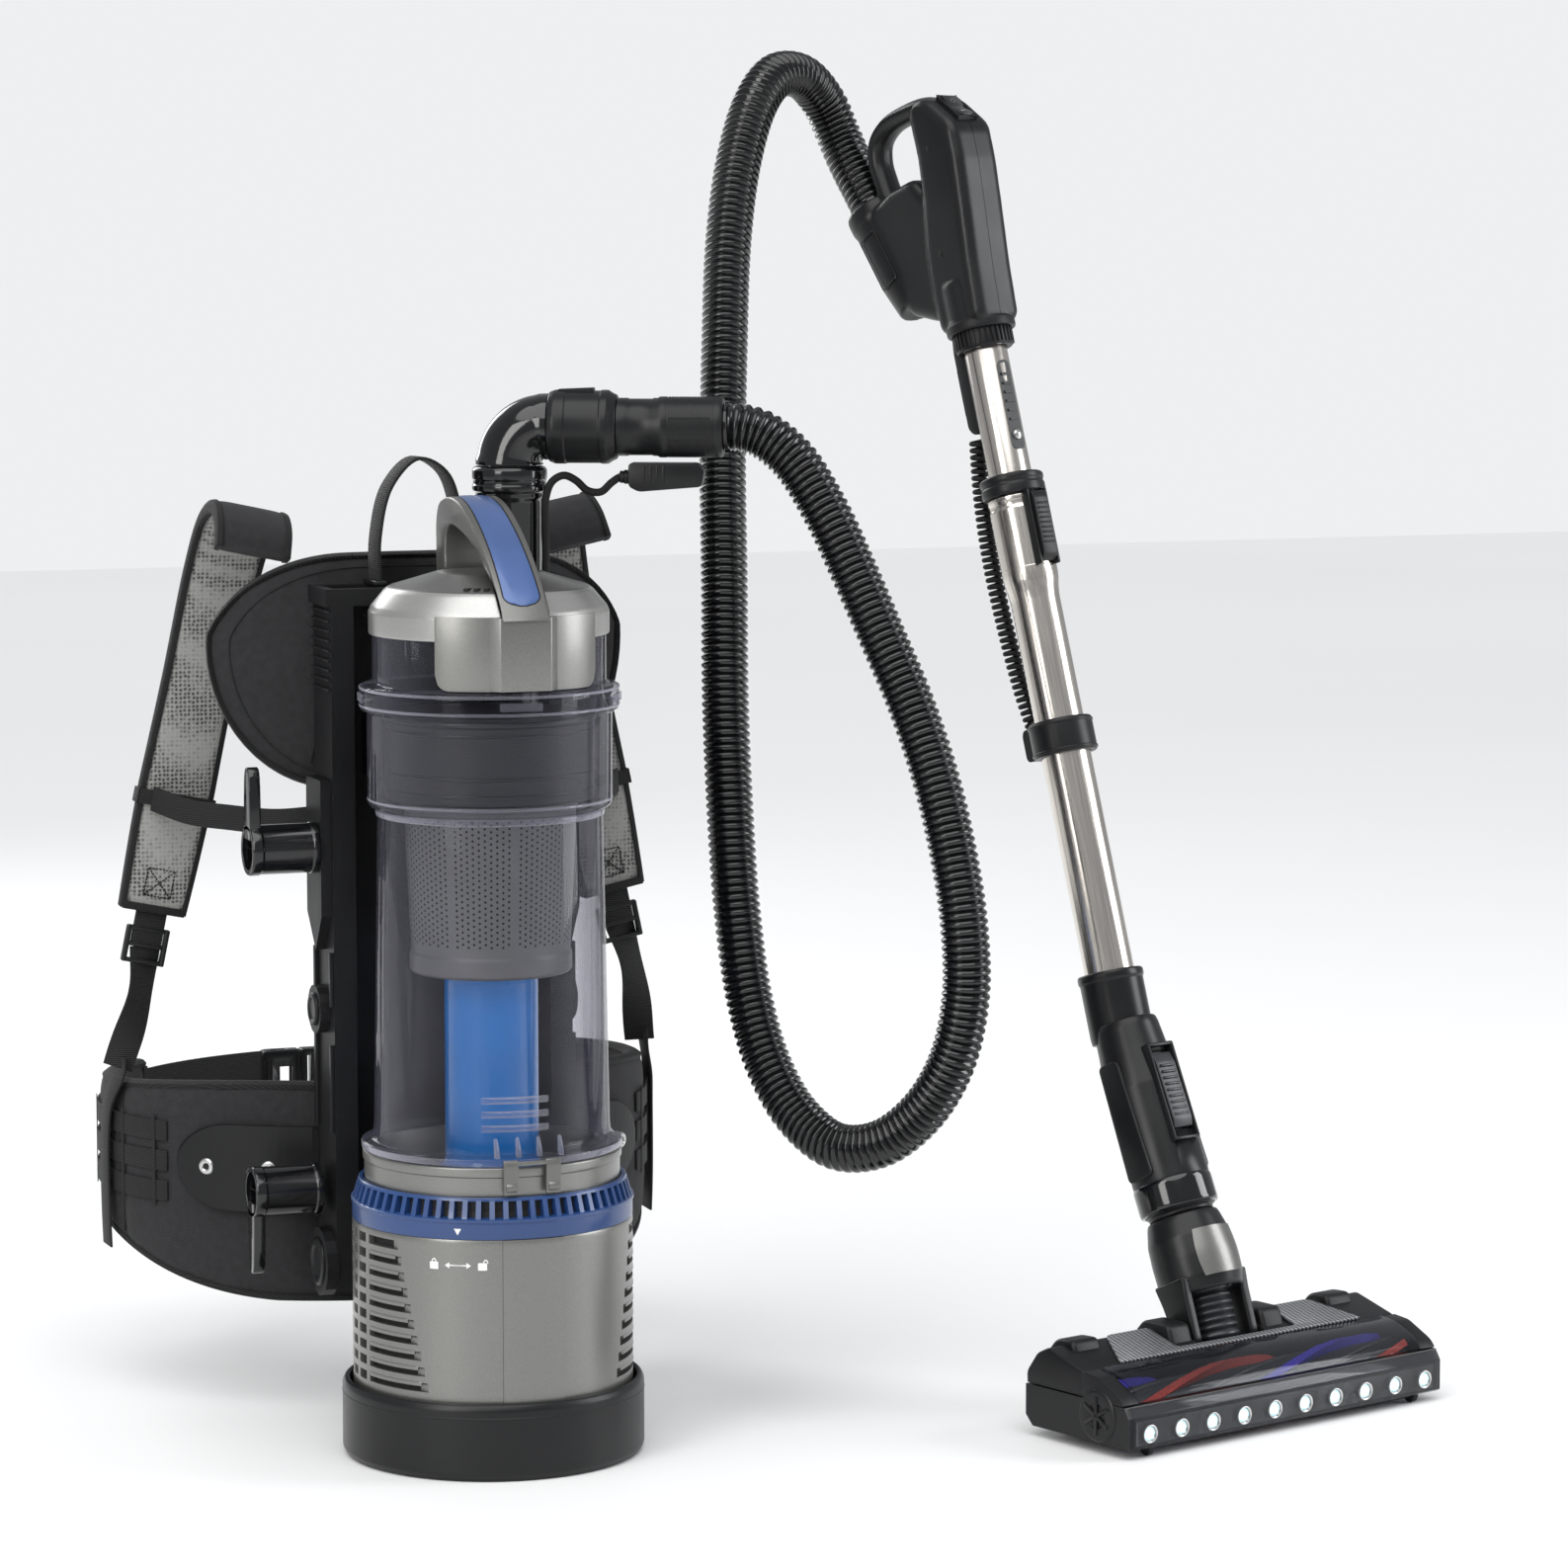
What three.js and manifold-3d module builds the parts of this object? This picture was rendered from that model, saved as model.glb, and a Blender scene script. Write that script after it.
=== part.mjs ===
// Backpack vacuum cleaner: canister, harness, hose, telescopic wand and power head.
// Millimetres, +Z up. Origin: centre of the canister's foot, on the floor.
// +Y points to the wearer (harness side), -Y is the front of the canister.
import * as THREE from 'three';
import { mergeVertices } from 'three/addons/utils/BufferGeometryUtils.js';
import Module from 'manifold-3d';

const wasm = await Module();
wasm.setup();

// ---- driving dimensions ----
const GAP = 0.3;            // between pieces that touch
const ROUND = 28;           // sides of a large turned piece
const SMALL_ROUND = 16;     // sides of a small turned piece

const FOOT_R = 115;
const FOOT_H = 58;
const HOUSING_R = 106.5;
const HOUSING_TOP = 181;
const RING_TOP = 212;       // top of the blue exhaust ring
const DOOR_R = 97;
const DOOR_TOP = 234;
const BIN_FLANGE_R = 98.5;
const BIN_BOTTOM_R = 89.5;
const BIN_TOP_R = 85;
const BIN_TOP = 493;
const COLLAR_R = 92.5;
const FLANGE_R = 98;
const FLANGE_LOW = 566;
const FLANGE_TOP = 587;
const NECK_R = 88;
const NECK_TOP = 624;
const LID_R = 90.5;
const LID_TOP = 673.5;
const HANDLE_W = 37;        // lid handle

const INLET_X = 52;         // axis of the upright inlet pipe
const INLET_Y = 114;
const PIPE_R = 24.7;
const DUCT_Z = 773;         // axis of the duct that leaves the elbow
const DUCT_HEADING = -24;   // degrees from +X

const FRAME_HALF = 96;      // back frame
const FRAME_FRONT = 98;
const FRAME_BACK = 150;
const FRAME_LOW = 110;
const FRAME_TOP = 640;
const TRAY_TOP = 652;
const HOOK_Y = 120;
const UPPER_HOOK_Z = 452;
const LOWER_HOOK_Z = 186;

const BELT_A = 215;         // half width and half depth of the belt's ring
const BELT_B = 168;
const BELT_Y = 330;
const BELT_T = 22;
const BELT_END = 128;       // degrees from the near side to each end of the padding
const BUCKLE_X = -24;
const STRAP_W = 60;
const STRAP_T = 12;
const STRAP_SPLAY = 11.9;   // degrees that each shoulder strap leans outward

const HOSE_R = 19;
const LEAD_R = 3;

const HEAD_X = 568;         // point on the floor under the power head's pivot
const HEAD_Y = -80;
const HEAD_YAW = 19;
const HEAD_W = 335;
const HEAD_FRONT = -84;
const HEAD_BACK = 36;
const PIVOT_Z = 62;
const NECK_LEAN = 25;
const NECK_L = 300;
const TUBE_LEAN = 17.4;
const TUBE_L = 530;         // neck socket to handle
const TUBE_R = 20;
const INNER_R = 17.5;
const BRUSH_Y = -46;
const BRUSH_Z = 29;
const COVER_FRONT = -30;    // front edge of the head's top cover

const FINISHES = {
  black_plastic: [0x17181a, 0.42, 0],
  gloss_black: [0x0b0c0e, 0.15, 0],
  silver_plastic: [0x96968f, 0.38, 0.25],
  grey_plastic: [0x6e6f6d, 0.45, 0.1],
  dark_grey: [0x3a3d42, 0.5, 0],
  navy_plastic: [0x32558f, 0.35, 0],
  sky_plastic: [0x7f9fca, 0.3, 0],
  azure_plastic: [0x2a86c8, 0.3, 0],
  clear_plastic: [0xd9dbe6, 0.08, 0],
  smoke_plastic: [0x30343c, 0.1, 0],
  filter_media: [0xe4e2d8, 0.9, 0],
  steel: [0xb8b2a8, 0.22, 1],
  rubber: [0x101112, 0.8, 0],
  fabric: [0x2c2d2f, 0.95, 0],
  webbing: [0x191a1c, 0.9, 0],
  trim: [0x8f9296, 0.35, 0.6],
  bristle: [0xb5332a, 0.8, 0],
};

// ---- small kit ----
const rad = THREE.MathUtils.degToRad;
const vec = (x, y, z) => new THREE.Vector3(x, y, z);

function signedVolume(position, index) {
  const a = vec(), b = vec(), c = vec();
  let volume = 0;
  for (let i = 0; i < index.length; i += 3) {
    a.fromBufferAttribute(position, index[i]);
    b.fromBufferAttribute(position, index[i + 1]);
    c.fromBufferAttribute(position, index[i + 2]);
    volume += a.dot(b.cross(c)) / 6;
  }
  return volume;
}

function shareVertices(geometry) {
  const bare = geometry.clone();
  bare.deleteAttribute('normal');
  bare.deleteAttribute('uv');
  return mergeVertices(bare, 1e-3);
}

// A closed, outward-facing solid from any closed three.js geometry.
function solid(geometry) {
  const merged = geometry.userData.shared ? geometry : shareVertices(geometry);
  const source = merged.index.array;
  const kept = [];
  for (let i = 0; i < source.length; i += 3) {
    const [a, b, c] = [source[i], source[i + 1], source[i + 2]];
    if (a !== b && b !== c && c !== a) kept.push(a, b, c);
  }
  const position = merged.getAttribute('position');
  if (signedVolume(position, kept) < 0) kept.reverse();
  return new wasm.Manifold(new wasm.Mesh({
    numProp: 3,
    vertProperties: new Float32Array(position.array),
    triVerts: new Uint32Array(kept),
  }));
}

function toGeometry(manifold) {
  const mesh = manifold.getMesh();
  const geometry = new THREE.BufferGeometry();
  geometry.setAttribute('position', new THREE.BufferAttribute(mesh.vertProperties, 3));
  geometry.setIndex(new THREE.BufferAttribute(mesh.triVerts, 1));
  geometry.userData.shared = true;
  return geometry;
}

function join(first, ...others) {
  return toGeometry(others.reduce((sum, other) => sum.add(solid(other)), solid(first)));
}

function cut(first, ...others) {
  return toGeometry(others.reduce((rest, other) => rest.subtract(solid(other)), solid(first)));
}

const common = (first, second) => toGeometry(solid(first).intersect(solid(second)));

// Turned about Z from [radius, z] points that start and end on the axis.
function turned(profile, sides = ROUND) {
  const points = profile.map(([r, z]) => new THREE.Vector2(r, z));
  return new THREE.LatheGeometry(points, sides).rotateX(Math.PI / 2);
}

// Turned about Z from a ring section that closes on itself.
const ring = (section, sides = ROUND) => turned([...section, section[0]], sides);
const pipe = (outer, inner, low, high, sides = ROUND) =>
  ring([[inner, low], [outer, low], [outer, high], [inner, high]], sides);
const rod = (radius, low, high, sides = SMALL_ROUND) =>
  turned([[0, low], [radius, low], [radius, high], [0, high]], sides);

// A box from its lowest and highest corners.
function block(low, high) {
  const size = high.map((value, i) => value - low[i]);
  const middle = high.map((value, i) => (value + low[i]) / 2);
  return new THREE.BoxGeometry(...size).translate(...middle);
}

const shapeOf = (points) => new THREE.Shape(points.map(([x, y]) => new THREE.Vector2(x, y)));

// Extrusions: flat() of an X-Y outline along Z, sideways() of a Y-Z outline along X,
// frontal() of an X-Z outline along Y.
function flat(shape, low, high, curveSegments = 12) {
  const depth = high - low;
  const geometry = new THREE.ExtrudeGeometry(shape, { depth, bevelEnabled: false, curveSegments });
  return geometry.translate(0, 0, low);
}

function sideways(shape, low, high, curveSegments = 12) {
  const basis = new THREE.Matrix4().makeBasis(vec(0, 1, 0), vec(0, 0, 1), vec(1, 0, 0));
  return flat(shape, low, high, curveSegments).applyMatrix4(basis);
}

function frontal(shape, low, high, curveSegments = 12) {
  const basis = new THREE.Matrix4().makeBasis(vec(1, 0, 0), vec(0, 0, 1), vec(0, -1, 0));
  return flat(shape, -high, -low, curveSegments).applyMatrix4(basis);
}

// Part of an elliptical wall seen from above; angles in degrees from -Y.
function wall(a, b, thickness, from, to, low, high, segments = 24) {
  const start = rad(from - 90);
  const end = rad(to - 90);
  const half = thickness / 2;
  const shape = new THREE.Shape();
  shape.absellipse(0, 0, a + half, b + half, start, end, false, 0);
  shape.absellipse(0, 0, a - half, b - half, end, start, true, 0);
  return flat(shape, low, high, segments);
}

// Outline of a strip that follows a plane curve, between two distances from it.
function strip(curve, inner, outer, steps, from = 0, to = 1) {
  const sides = [inner, outer].map((distance) => {
    const points = [];
    for (let i = 0; i <= steps; i++) {
      const t = from + (to - from) * i / steps;
      const p = curve.getPoint(t);
      const d = curve.getTangent(t);
      points.push([p.x - d.y * distance, p.y + d.x * distance]);
    }
    return points;
  });
  return shapeOf([...sides[0], ...sides[1].reverse()]);
}

const curve2 = (points) => new THREE.SplineCurve(points.map(([x, y]) => new THREE.Vector2(x, y)));

function polygon(radius, sides) {
  const corners = [];
  for (let i = 0; i < sides; i++) {
    const angle = 2 * Math.PI * i / sides;
    corners.push([radius * Math.cos(angle), radius * Math.sin(angle)]);
  }
  return shapeOf(corners);
}

function cordAlong(points, radius, steps, sides) {
  const extrudePath = new THREE.CatmullRomCurve3(points.map((p) => vec(...p)), false, 'centripetal');
  return new THREE.ExtrudeGeometry(polygon(radius, sides), { extrudePath, steps });
}

// Turns a shape made about Z so that it runs along X.
const alongX = (geometry) => geometry.rotateY(Math.PI / 2);

// Lower and upper end of the stretch from near to far on one side of the middle.
const spanOf = (side, near, far) => (side < 0 ? [-far, -near] : [near, far]);

// A block on one side of the middle plane x = 0, from near to far.
function sideBlock(side, near, far, [lowY, lowZ], [highY, highZ]) {
  const [low, high] = spanOf(side, near, far);
  return block([low, lowY, lowZ], [high, highY, highZ]);
}

function add(parent, name, finish, geometry) {
  const [color, roughness, metalness] = FINISHES[finish];
  const clear = finish === 'clear_plastic' || finish === 'smoke_plastic';
  const material = new THREE.MeshStandardMaterial({ color, roughness, metalness });
  material.transparent = clear;
  material.opacity = clear ? 0.35 : 1;
  const mesh = new THREE.Mesh(toGeometry(solid(geometry)), material);
  mesh.name = name;
  parent.add(mesh);
  return mesh;
}

function group(parent, position = [0, 0, 0], turn = {}) {
  const child = new THREE.Group();
  child.position.set(...position);
  child.rotation.set(rad(turn.x ?? 0), rad(turn.y ?? 0), rad(turn.z ?? 0));
  parent.add(child);
  return child;
}

const vacuum = new THREE.Group();

// ---- motor unit ----
function makeMotorUnit() {
  add(vacuum, 'base_foot', 'black_plastic', turned([
    [0, 0], [112, 0], [FOOT_R, 4], [FOOT_R, FOOT_H - 4], [113, FOOT_H], [109, FOOT_H], [109, 9], [0, 9],
  ]));
  const shell = turned([
    [0, 9 + GAP], [HOUSING_R, 9 + GAP], [HOUSING_R, HOUSING_TOP], [102, HOUSING_TOP], [102, 14], [0, 14],
  ]);
  const deck = ring([[55, 150], [102.5, 150], [102.5, 153], [55, 153]]);
  add(vacuum, 'motor_housing', 'silver_plastic', join(shell, deck));
  add(vacuum, 'vacuum_motor', 'dark_grey', ring([
    [7, 14 + GAP], [52, 14 + GAP], [62, 24], [62, 104], [40, 118], [7, 118],
  ]));
  add(vacuum, 'fan_rotor', 'trim', turned([
    [0, 30], [6, 30], [6, 119], [12, 122], [74, 122], [74, 142], [12, 146], [0, 146],
  ]));
  add(vacuum, 'hepa_filter', 'filter_media', pipe(95, 62, 153 + GAP, 200));
  add(vacuum, 'exhaust_ring', 'navy_plastic', ring([
    [99, HOUSING_TOP + GAP], [HOUSING_R, HOUSING_TOP + GAP], [HOUSING_R, 195],
    [101.5, RING_TOP], [98, RING_TOP], [98, 195],
  ]));
}

// ---- dust bin and cyclone ----
function makeBin() {
  add(vacuum, 'bin_door', 'silver_plastic', turned([
    [0, 207], [DOOR_R, 207], [DOOR_R, DOOR_TOP], [93, DOOR_TOP], [93, 212], [0, 212],
  ]));
  const hooks = [-16.5, 16.5].map((x) => block([x - 6, -103, 213.5], [x + 6, -99.2, 240]));
  add(vacuum, 'bin_latch', 'silver_plastic', join(...hooks, block([-22, -103, 236], [22, -99.2, 240])));
  add(vacuum, 'dust_bin', 'clear_plastic', ring([
    [89, DOOR_TOP + GAP], [BIN_FLANGE_R, DOOR_TOP + GAP], [BIN_FLANGE_R, 241], [BIN_BOTTOM_R, 244],
    [BIN_TOP_R, BIN_TOP], [BIN_TOP_R - 2.5, BIN_TOP], [BIN_BOTTOM_R - 2.5, 243],
  ]));
  add(vacuum, 'bin_collar', 'clear_plastic', ring([
    [82, BIN_TOP + GAP], [90, BIN_TOP + GAP], [COLLAR_R, 498], [COLLAR_R, FLANGE_LOW],
    [FLANGE_R, FLANGE_LOW + 4], [FLANGE_R, FLANGE_TOP - 4], [95, FLANGE_TOP], [NECK_R, FLANGE_TOP],
    [NECK_R, NECK_TOP], [85, NECK_TOP], [85, 576], [89.5, 566], [89.5, 500],
  ]));
  add(vacuum, 'cyclone_body', 'dark_grey', turned([
    [0, 500], [79, 500], [79, 562], [76, 562], [76, 504], [0, 504],
  ]));
  add(vacuum, 'mesh_shroud', 'grey_plastic', turned([
    [0, 368], [60, 368], [61.5, 372], [61.5, 384], [65.5, 499.5], [62.5, 499.5],
    [58.5, 384], [58.5, 372], [0, 371],
  ]));
  add(vacuum, 'cyclone_tube', 'azure_plastic', pipe(36, 33, 212.5, 367.5, 20));
}

// ---- lid with its carrying handle ----
function makeLid() {
  const cap = turned([
    [0, 668], [70, 656], [84.5, 641], [84.5, NECK_TOP + GAP], [LID_R, NECK_TOP + GAP],
    [LID_R, 644], [76, 660], [70, 663.5], [40, 671], [0, LID_TOP],
  ]);
  const skirt = wall(89.75, 89.75, 2.5, -43, 43, 588, 643, 12);
  const facet = common(block([-19, -94, 588], [19, -88.8, 640]), rod(93.5, 588, 640, ROUND));
  add(vacuum, 'lid', 'silver_plastic', join(cap, skirt, cut(facet, rod(88.5, 580, 650, ROUND))));

  const outer = [[76.5, 661], [75, 690], [64, 714], [40, 724], [5, 717], [-40, 693], [-76, 665], [-97, 640]];
  const inner = [[-91.5, 640], [-91.5, 645], [-77, 661], [-57, 673], [-20, 691], [20, 702], [44, 705],
    [56, 697], [60, 682], [60, 667.3], [70, 664.3]];
  const arch = new THREE.Shape();
  arch.moveTo(...outer[0]);
  arch.splineThru(outer.slice(1).map(([y, z]) => new THREE.Vector2(y, z)));
  inner.forEach(([y, z]) => arch.lineTo(y, z));
  add(vacuum, 'lid_handle', 'silver_plastic', sideways(arch, -HANDLE_W / 2, HANDLE_W / 2, 2));
  const crown = curve2(outer);
  add(vacuum, 'handle_inlay', 'sky_plastic', sideways(strip(crown, -2.6, -0.6, 12, 0.28, 0.93), -13, 13));
}

// ---- upright inlet pipe, elbow, cuffs and the short lead below them ----
function makeInlet() {
  const upright = turned([
    [0, 480], [PIPE_R, 480], [PIPE_R, 722], [29, 724], [29, 741], [PIPE_R, 743.4],
    [22, 743.4], [22, 484], [0, 484],
  ], 20).translate(INLET_X, INLET_Y, 0);
  const port = block([-15, 80, 505], [15, 115, 545]);
  port.rotateZ(Math.atan2(INLET_Y, INLET_X) - Math.PI / 2);
  const bore = rod(22, 484, 744, 20).translate(INLET_X, INLET_Y, 0);
  add(vacuum, 'inlet_tube', 'gloss_black',
    cut(join(upright, port), bore, rod(COLLAR_R + GAP, 490, 560, ROUND)));

  const duct = group(vacuum, [INLET_X, INLET_Y, DUCT_Z], { z: DUCT_HEADING });
  const corner = new THREE.CatmullRomCurve3(elbowPath().map((p) => vec(...p)));
  const section = polygon(25, SMALL_ROUND);
  section.holes.push(new THREE.Path(polygon(21.5, SMALL_ROUND).getPoints().reverse()));
  add(duct, 'elbow', 'gloss_black', new THREE.ExtrudeGeometry(section, { extrudePath: corner, steps: 8 }));
  add(duct, 'swivel_cuff', 'black_plastic', alongX(ring([
    [21.5, 31], [27, 31], [28.5, 36], [28.5, 78], [24.5, 84], [21.5, 84],
  ], 20)));
  add(duct, 'hose_cuff', 'black_plastic', alongX(ring([
    [18.5, 84 + GAP], [22.5, 84 + GAP], [22.5, 115], [23.5, 117], [23.5, 164], [22, 166], [18.5, 166],
  ], 20)));
  const plug = shapeOf([[92, -27], [146, -27], [152, -33], [150, -46], [100, -50], [92, -46]]);
  add(duct, 'connector_plug', 'black_plastic', frontal(plug, -11, 11));
  add(duct, 'pigtail_lead', 'rubber', cordAlong(PIGTAIL_ROUTE, LEAD_R, 28, 8));
}

// Route of the lead under the cuffs, in the duct's own frame: plug end first.
const PIGTAIL_ROUTE = [
  [91, 0, -38], [86, 0, -38.5], [79, -1, -43], [71, -2, -50], [61, -4, -49], [52, -6, -41], [43, -9, -37],
  [34, -11, -42], [29, -11, -56], [29, -11, -80], [29, -11, -100], [29, -11, -119],
];

// Quarter bend from straight down to along the duct.
function elbowPath() {
  const radius = 28;
  const points = [[0, 0, -radius - 1.2]];
  for (let i = 0; i <= 8; i++) {
    const angle = rad(90 * i / 8);
    points.push([radius - radius * Math.cos(angle), 0, radius * Math.sin(angle) - radius]);
  }
  points.push([radius + 2.6, 0, 0]);
  return points;
}

// ---- back frame and cord hooks ----
function makeFrame() {
  const channel = cut(
    block([-FRAME_HALF, FRAME_FRONT, FRAME_LOW], [FRAME_HALF, FRAME_BACK, FRAME_TOP]),
    block([-78, FRAME_FRONT - 1, FRAME_LOW - 1], [78, 142, FRAME_TOP + 1]));
  const tray = cut(
    block([-100, FRAME_FRONT, FRAME_TOP - 1], [100, FRAME_BACK, TRAY_TOP]),
    block([-92, FRAME_FRONT + 8, FRAME_TOP + 3], [20, 140, TRAY_TOP + 1]));
  const lowerArm = block([-34, 90, 118], [34, 143, 172]);
  const upperArm = block([-60, 60, 505], [8, 143, 555]);
  const bosses = [-1, 1].flatMap((side) => [
    sideways(shapeOf([[104, 505], [146, 505], [146, 400], [122, 372], [104, 400]]),
      ...spanOf(side, FRAME_HALF - 1, 104)),
    rodAlongX(19, 128, 325, side),
    rodAlongX(27, 122, 128, side),
  ]);
  const paddles = [-1, 1].map((side) => makePaddle(side));
  add(vacuum, 'back_frame', 'black_plastic', cut(
    join(channel, tray, lowerArm, upperArm, ...bosses, ...paddles),
    rod(HOUSING_R + 0.5, 100, 200, ROUND),
    rod(COLLAR_R + 0.5, 490, 562, ROUND),
    rod(PIPE_R + 1, 470, 700, 20).translate(INLET_X, INLET_Y, 0)));
  makeCordHook('upper_cord_hook', UPPER_HOOK_Z, 1);
  makeCordHook('lower_cord_hook', LOWER_HOOK_Z, -1);
}

function rodAlongX(radius, y, z, side) {
  const [low, high] = spanOf(side, FRAME_HALF - 1, 104);
  return alongX(rod(radius, low, high)).translate(0, y, z);
}

// Bent plate that follows the belt's outer face and carries it.
function makePaddle(side) {
  const outside = BELT_T / 2 + 2.6;
  const [from, to] = side < 0 ? [-56, -24] : [24, 56];
  const plate = wall(BELT_A + outside, BELT_B + outside, 4, from, to, 158, 226, 8).translate(0, BELT_Y, 0);
  const outline = new THREE.Shape();
  outline.moveTo(side * 90, 226);
  outline.lineTo(side * 90, 158);
  outline.absarc(side * 156, 192, 34, -Math.PI / 2, Math.PI / 2, side < 0);
  const [low, high] = spanOf(side, 89, 97);
  const root = block([low, FRAME_BACK - 4, 158], [high, 165, 226]);
  return join(common(plate, frontal(outline, 130, 250)), root);
}

// Tube with an arm at its open end; it turns about its own axis to free the cord.
function makeCordHook(name, z, up) {
  const outerX = -158;
  const tube = cut(alongX(rod(20, outerX, -104.5)), alongX(rod(15.5, outerX - 1, -112)));
  const arm = sideways(shapeOf([
    [-9, 10 * up], [9, 10 * up], [8, 58 * up], [4, 64 * up], [-4, 64 * up], [-8, 58 * up],
  ]), outerX, -147);
  add(vacuum, name, 'gloss_black', join(tube, arm).translate(0, HOOK_Y, z));
}

// ---- harness ----
function makeHarness() {
  const yokeWall = wall(350, 350, 24, -30, 30, 488, 680, 12).translate(0, 514, 0);
  const yokeOutline = new THREE.Shape();
  yokeOutline.moveTo(-60, 676);
  yokeOutline.bezierCurveTo(-105, 676, -150, 655, -168, 612);
  yokeOutline.bezierCurveTo(-172, 560, -140, 496, -80, 490);
  yokeOutline.lineTo(80, 490);
  yokeOutline.bezierCurveTo(140, 496, 172, 560, 168, 612);
  yokeOutline.bezierCurveTo(150, 655, 105, 676, 60, 676);
  add(vacuum, 'yoke_pad', 'fabric', common(yokeWall, frontal(yokeOutline, 120, 300, 6)));

  for (const side of [-1, 1]) {
    const label = side < 0 ? 'left' : 'right';
    const strap = group(vacuum, [side * 128, 0, 690], { y: -side * STRAP_SPLAY });
    const route = curve2([[197, -17], [208, 2], [232, 13], [262, 0], [277, -40], [284, -130],
      [289, -230], [292, -312]]);
    add(strap, `shoulder_pad_${label}`, 'fabric',
      sideways(strip(route, -STRAP_T / 2, STRAP_T / 2, 20), -STRAP_W / 2, STRAP_W / 2));
    const tail = group(strap, [0, 292, -315]);
    add(tail, `strap_webbing_${label}`, 'webbing', block([-12.5, -1.5, -125], [12.5, 1.5, 0]));
  }

  const loop = new THREE.CatmullRomCurve3([[-51, 653], [-50, 690], [-40, 728], [-18, 749], [4, 738],
    [16, 700], [20, 653]].map(([x, z]) => vec(x, z, 0)));
  add(vacuum, 'carry_strap', 'webbing', frontal(strip(loop, -1.4, 1.4, 18), 118, 148));
}

function makeBelt() {
  const belt = group(vacuum, [0, BELT_Y, 0]);
  const pad = wall(BELT_A, BELT_B, BELT_T, -BELT_END, BELT_END, 84, 262, 26);
  const heights = shapeOf([[-200, 88], [-140, 88], [0, 128], [130, 150], [130, 240], [0, 246], [-140, 258],
    [-200, 258]]);
  add(belt, 'lumbar_belt', 'fabric', common(pad, sideways(heights, -240, 240)));
  add(belt, 'belt_webbing_left', 'webbing', wall(BELT_A, BELT_B, 3, -165, -BELT_END - 0.4, 186, 234, 10));
  add(belt, 'belt_webbing_right', 'webbing', wall(BELT_A, BELT_B, 3, 150, 178, 186, 234, 8));

  const buckle = group(belt, [BUCKLE_X, BELT_B - 1, 210]);
  const cavity = block([-24, -4, -18], [10, 4, 18]);
  add(buckle, 'buckle_socket', 'black_plastic', cut(block([-29, -6.5, -23], [5, 6.5, 23]), cavity));
  const prongs = [-11, 11].map((z) => block([-20, -2.5, z - 4], [8, 2.5, z + 4]));
  add(buckle, 'buckle_plug', 'black_plastic', join(block([5.5, -6.5, -23], [29, 6.5, 23]), ...prongs));
}

// ---- hose: from the cuff down in a long loop, up behind it, over and into the handle ----
const HOSE_ROUTE = [
  [204.3, 46.2, 773], [213.4, 42.1, 773], [230, 34.5, 768], [251, 22, 749], [272, 5, 709],
  [289, -9, 665], [306, -25, 616], [324, -41, 564], [338, -57, 509], [348, -69, 453],
  [354, -78, 397], [355, -80, 341], [346, -73, 288], [328, -55, 247], [303, -32, 221],
  [278, -3, 216], [257, 26, 236], [242, 50, 272], [233, 71, 323], [229, 89, 392],
  [230, 108, 468], [234, 130, 552], [242, 155, 644], [252, 187, 736], [266, 222, 829],
  [282, 257, 915], [301, 284, 980], [323, 305, 1025], [348, 326, 1046], [378, 346, 1045],
  [402, 358, 1024], [414, 357, 998], [420.5, 347.5, 976.5], [426.7, 330.5, 953.4], [430.9, 318.1, 936.9],
];

function makeHose() {
  add(vacuum, 'hose', 'gloss_black', cordAlong(HOSE_ROUTE, HOSE_R, 46, 10));
}

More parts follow.
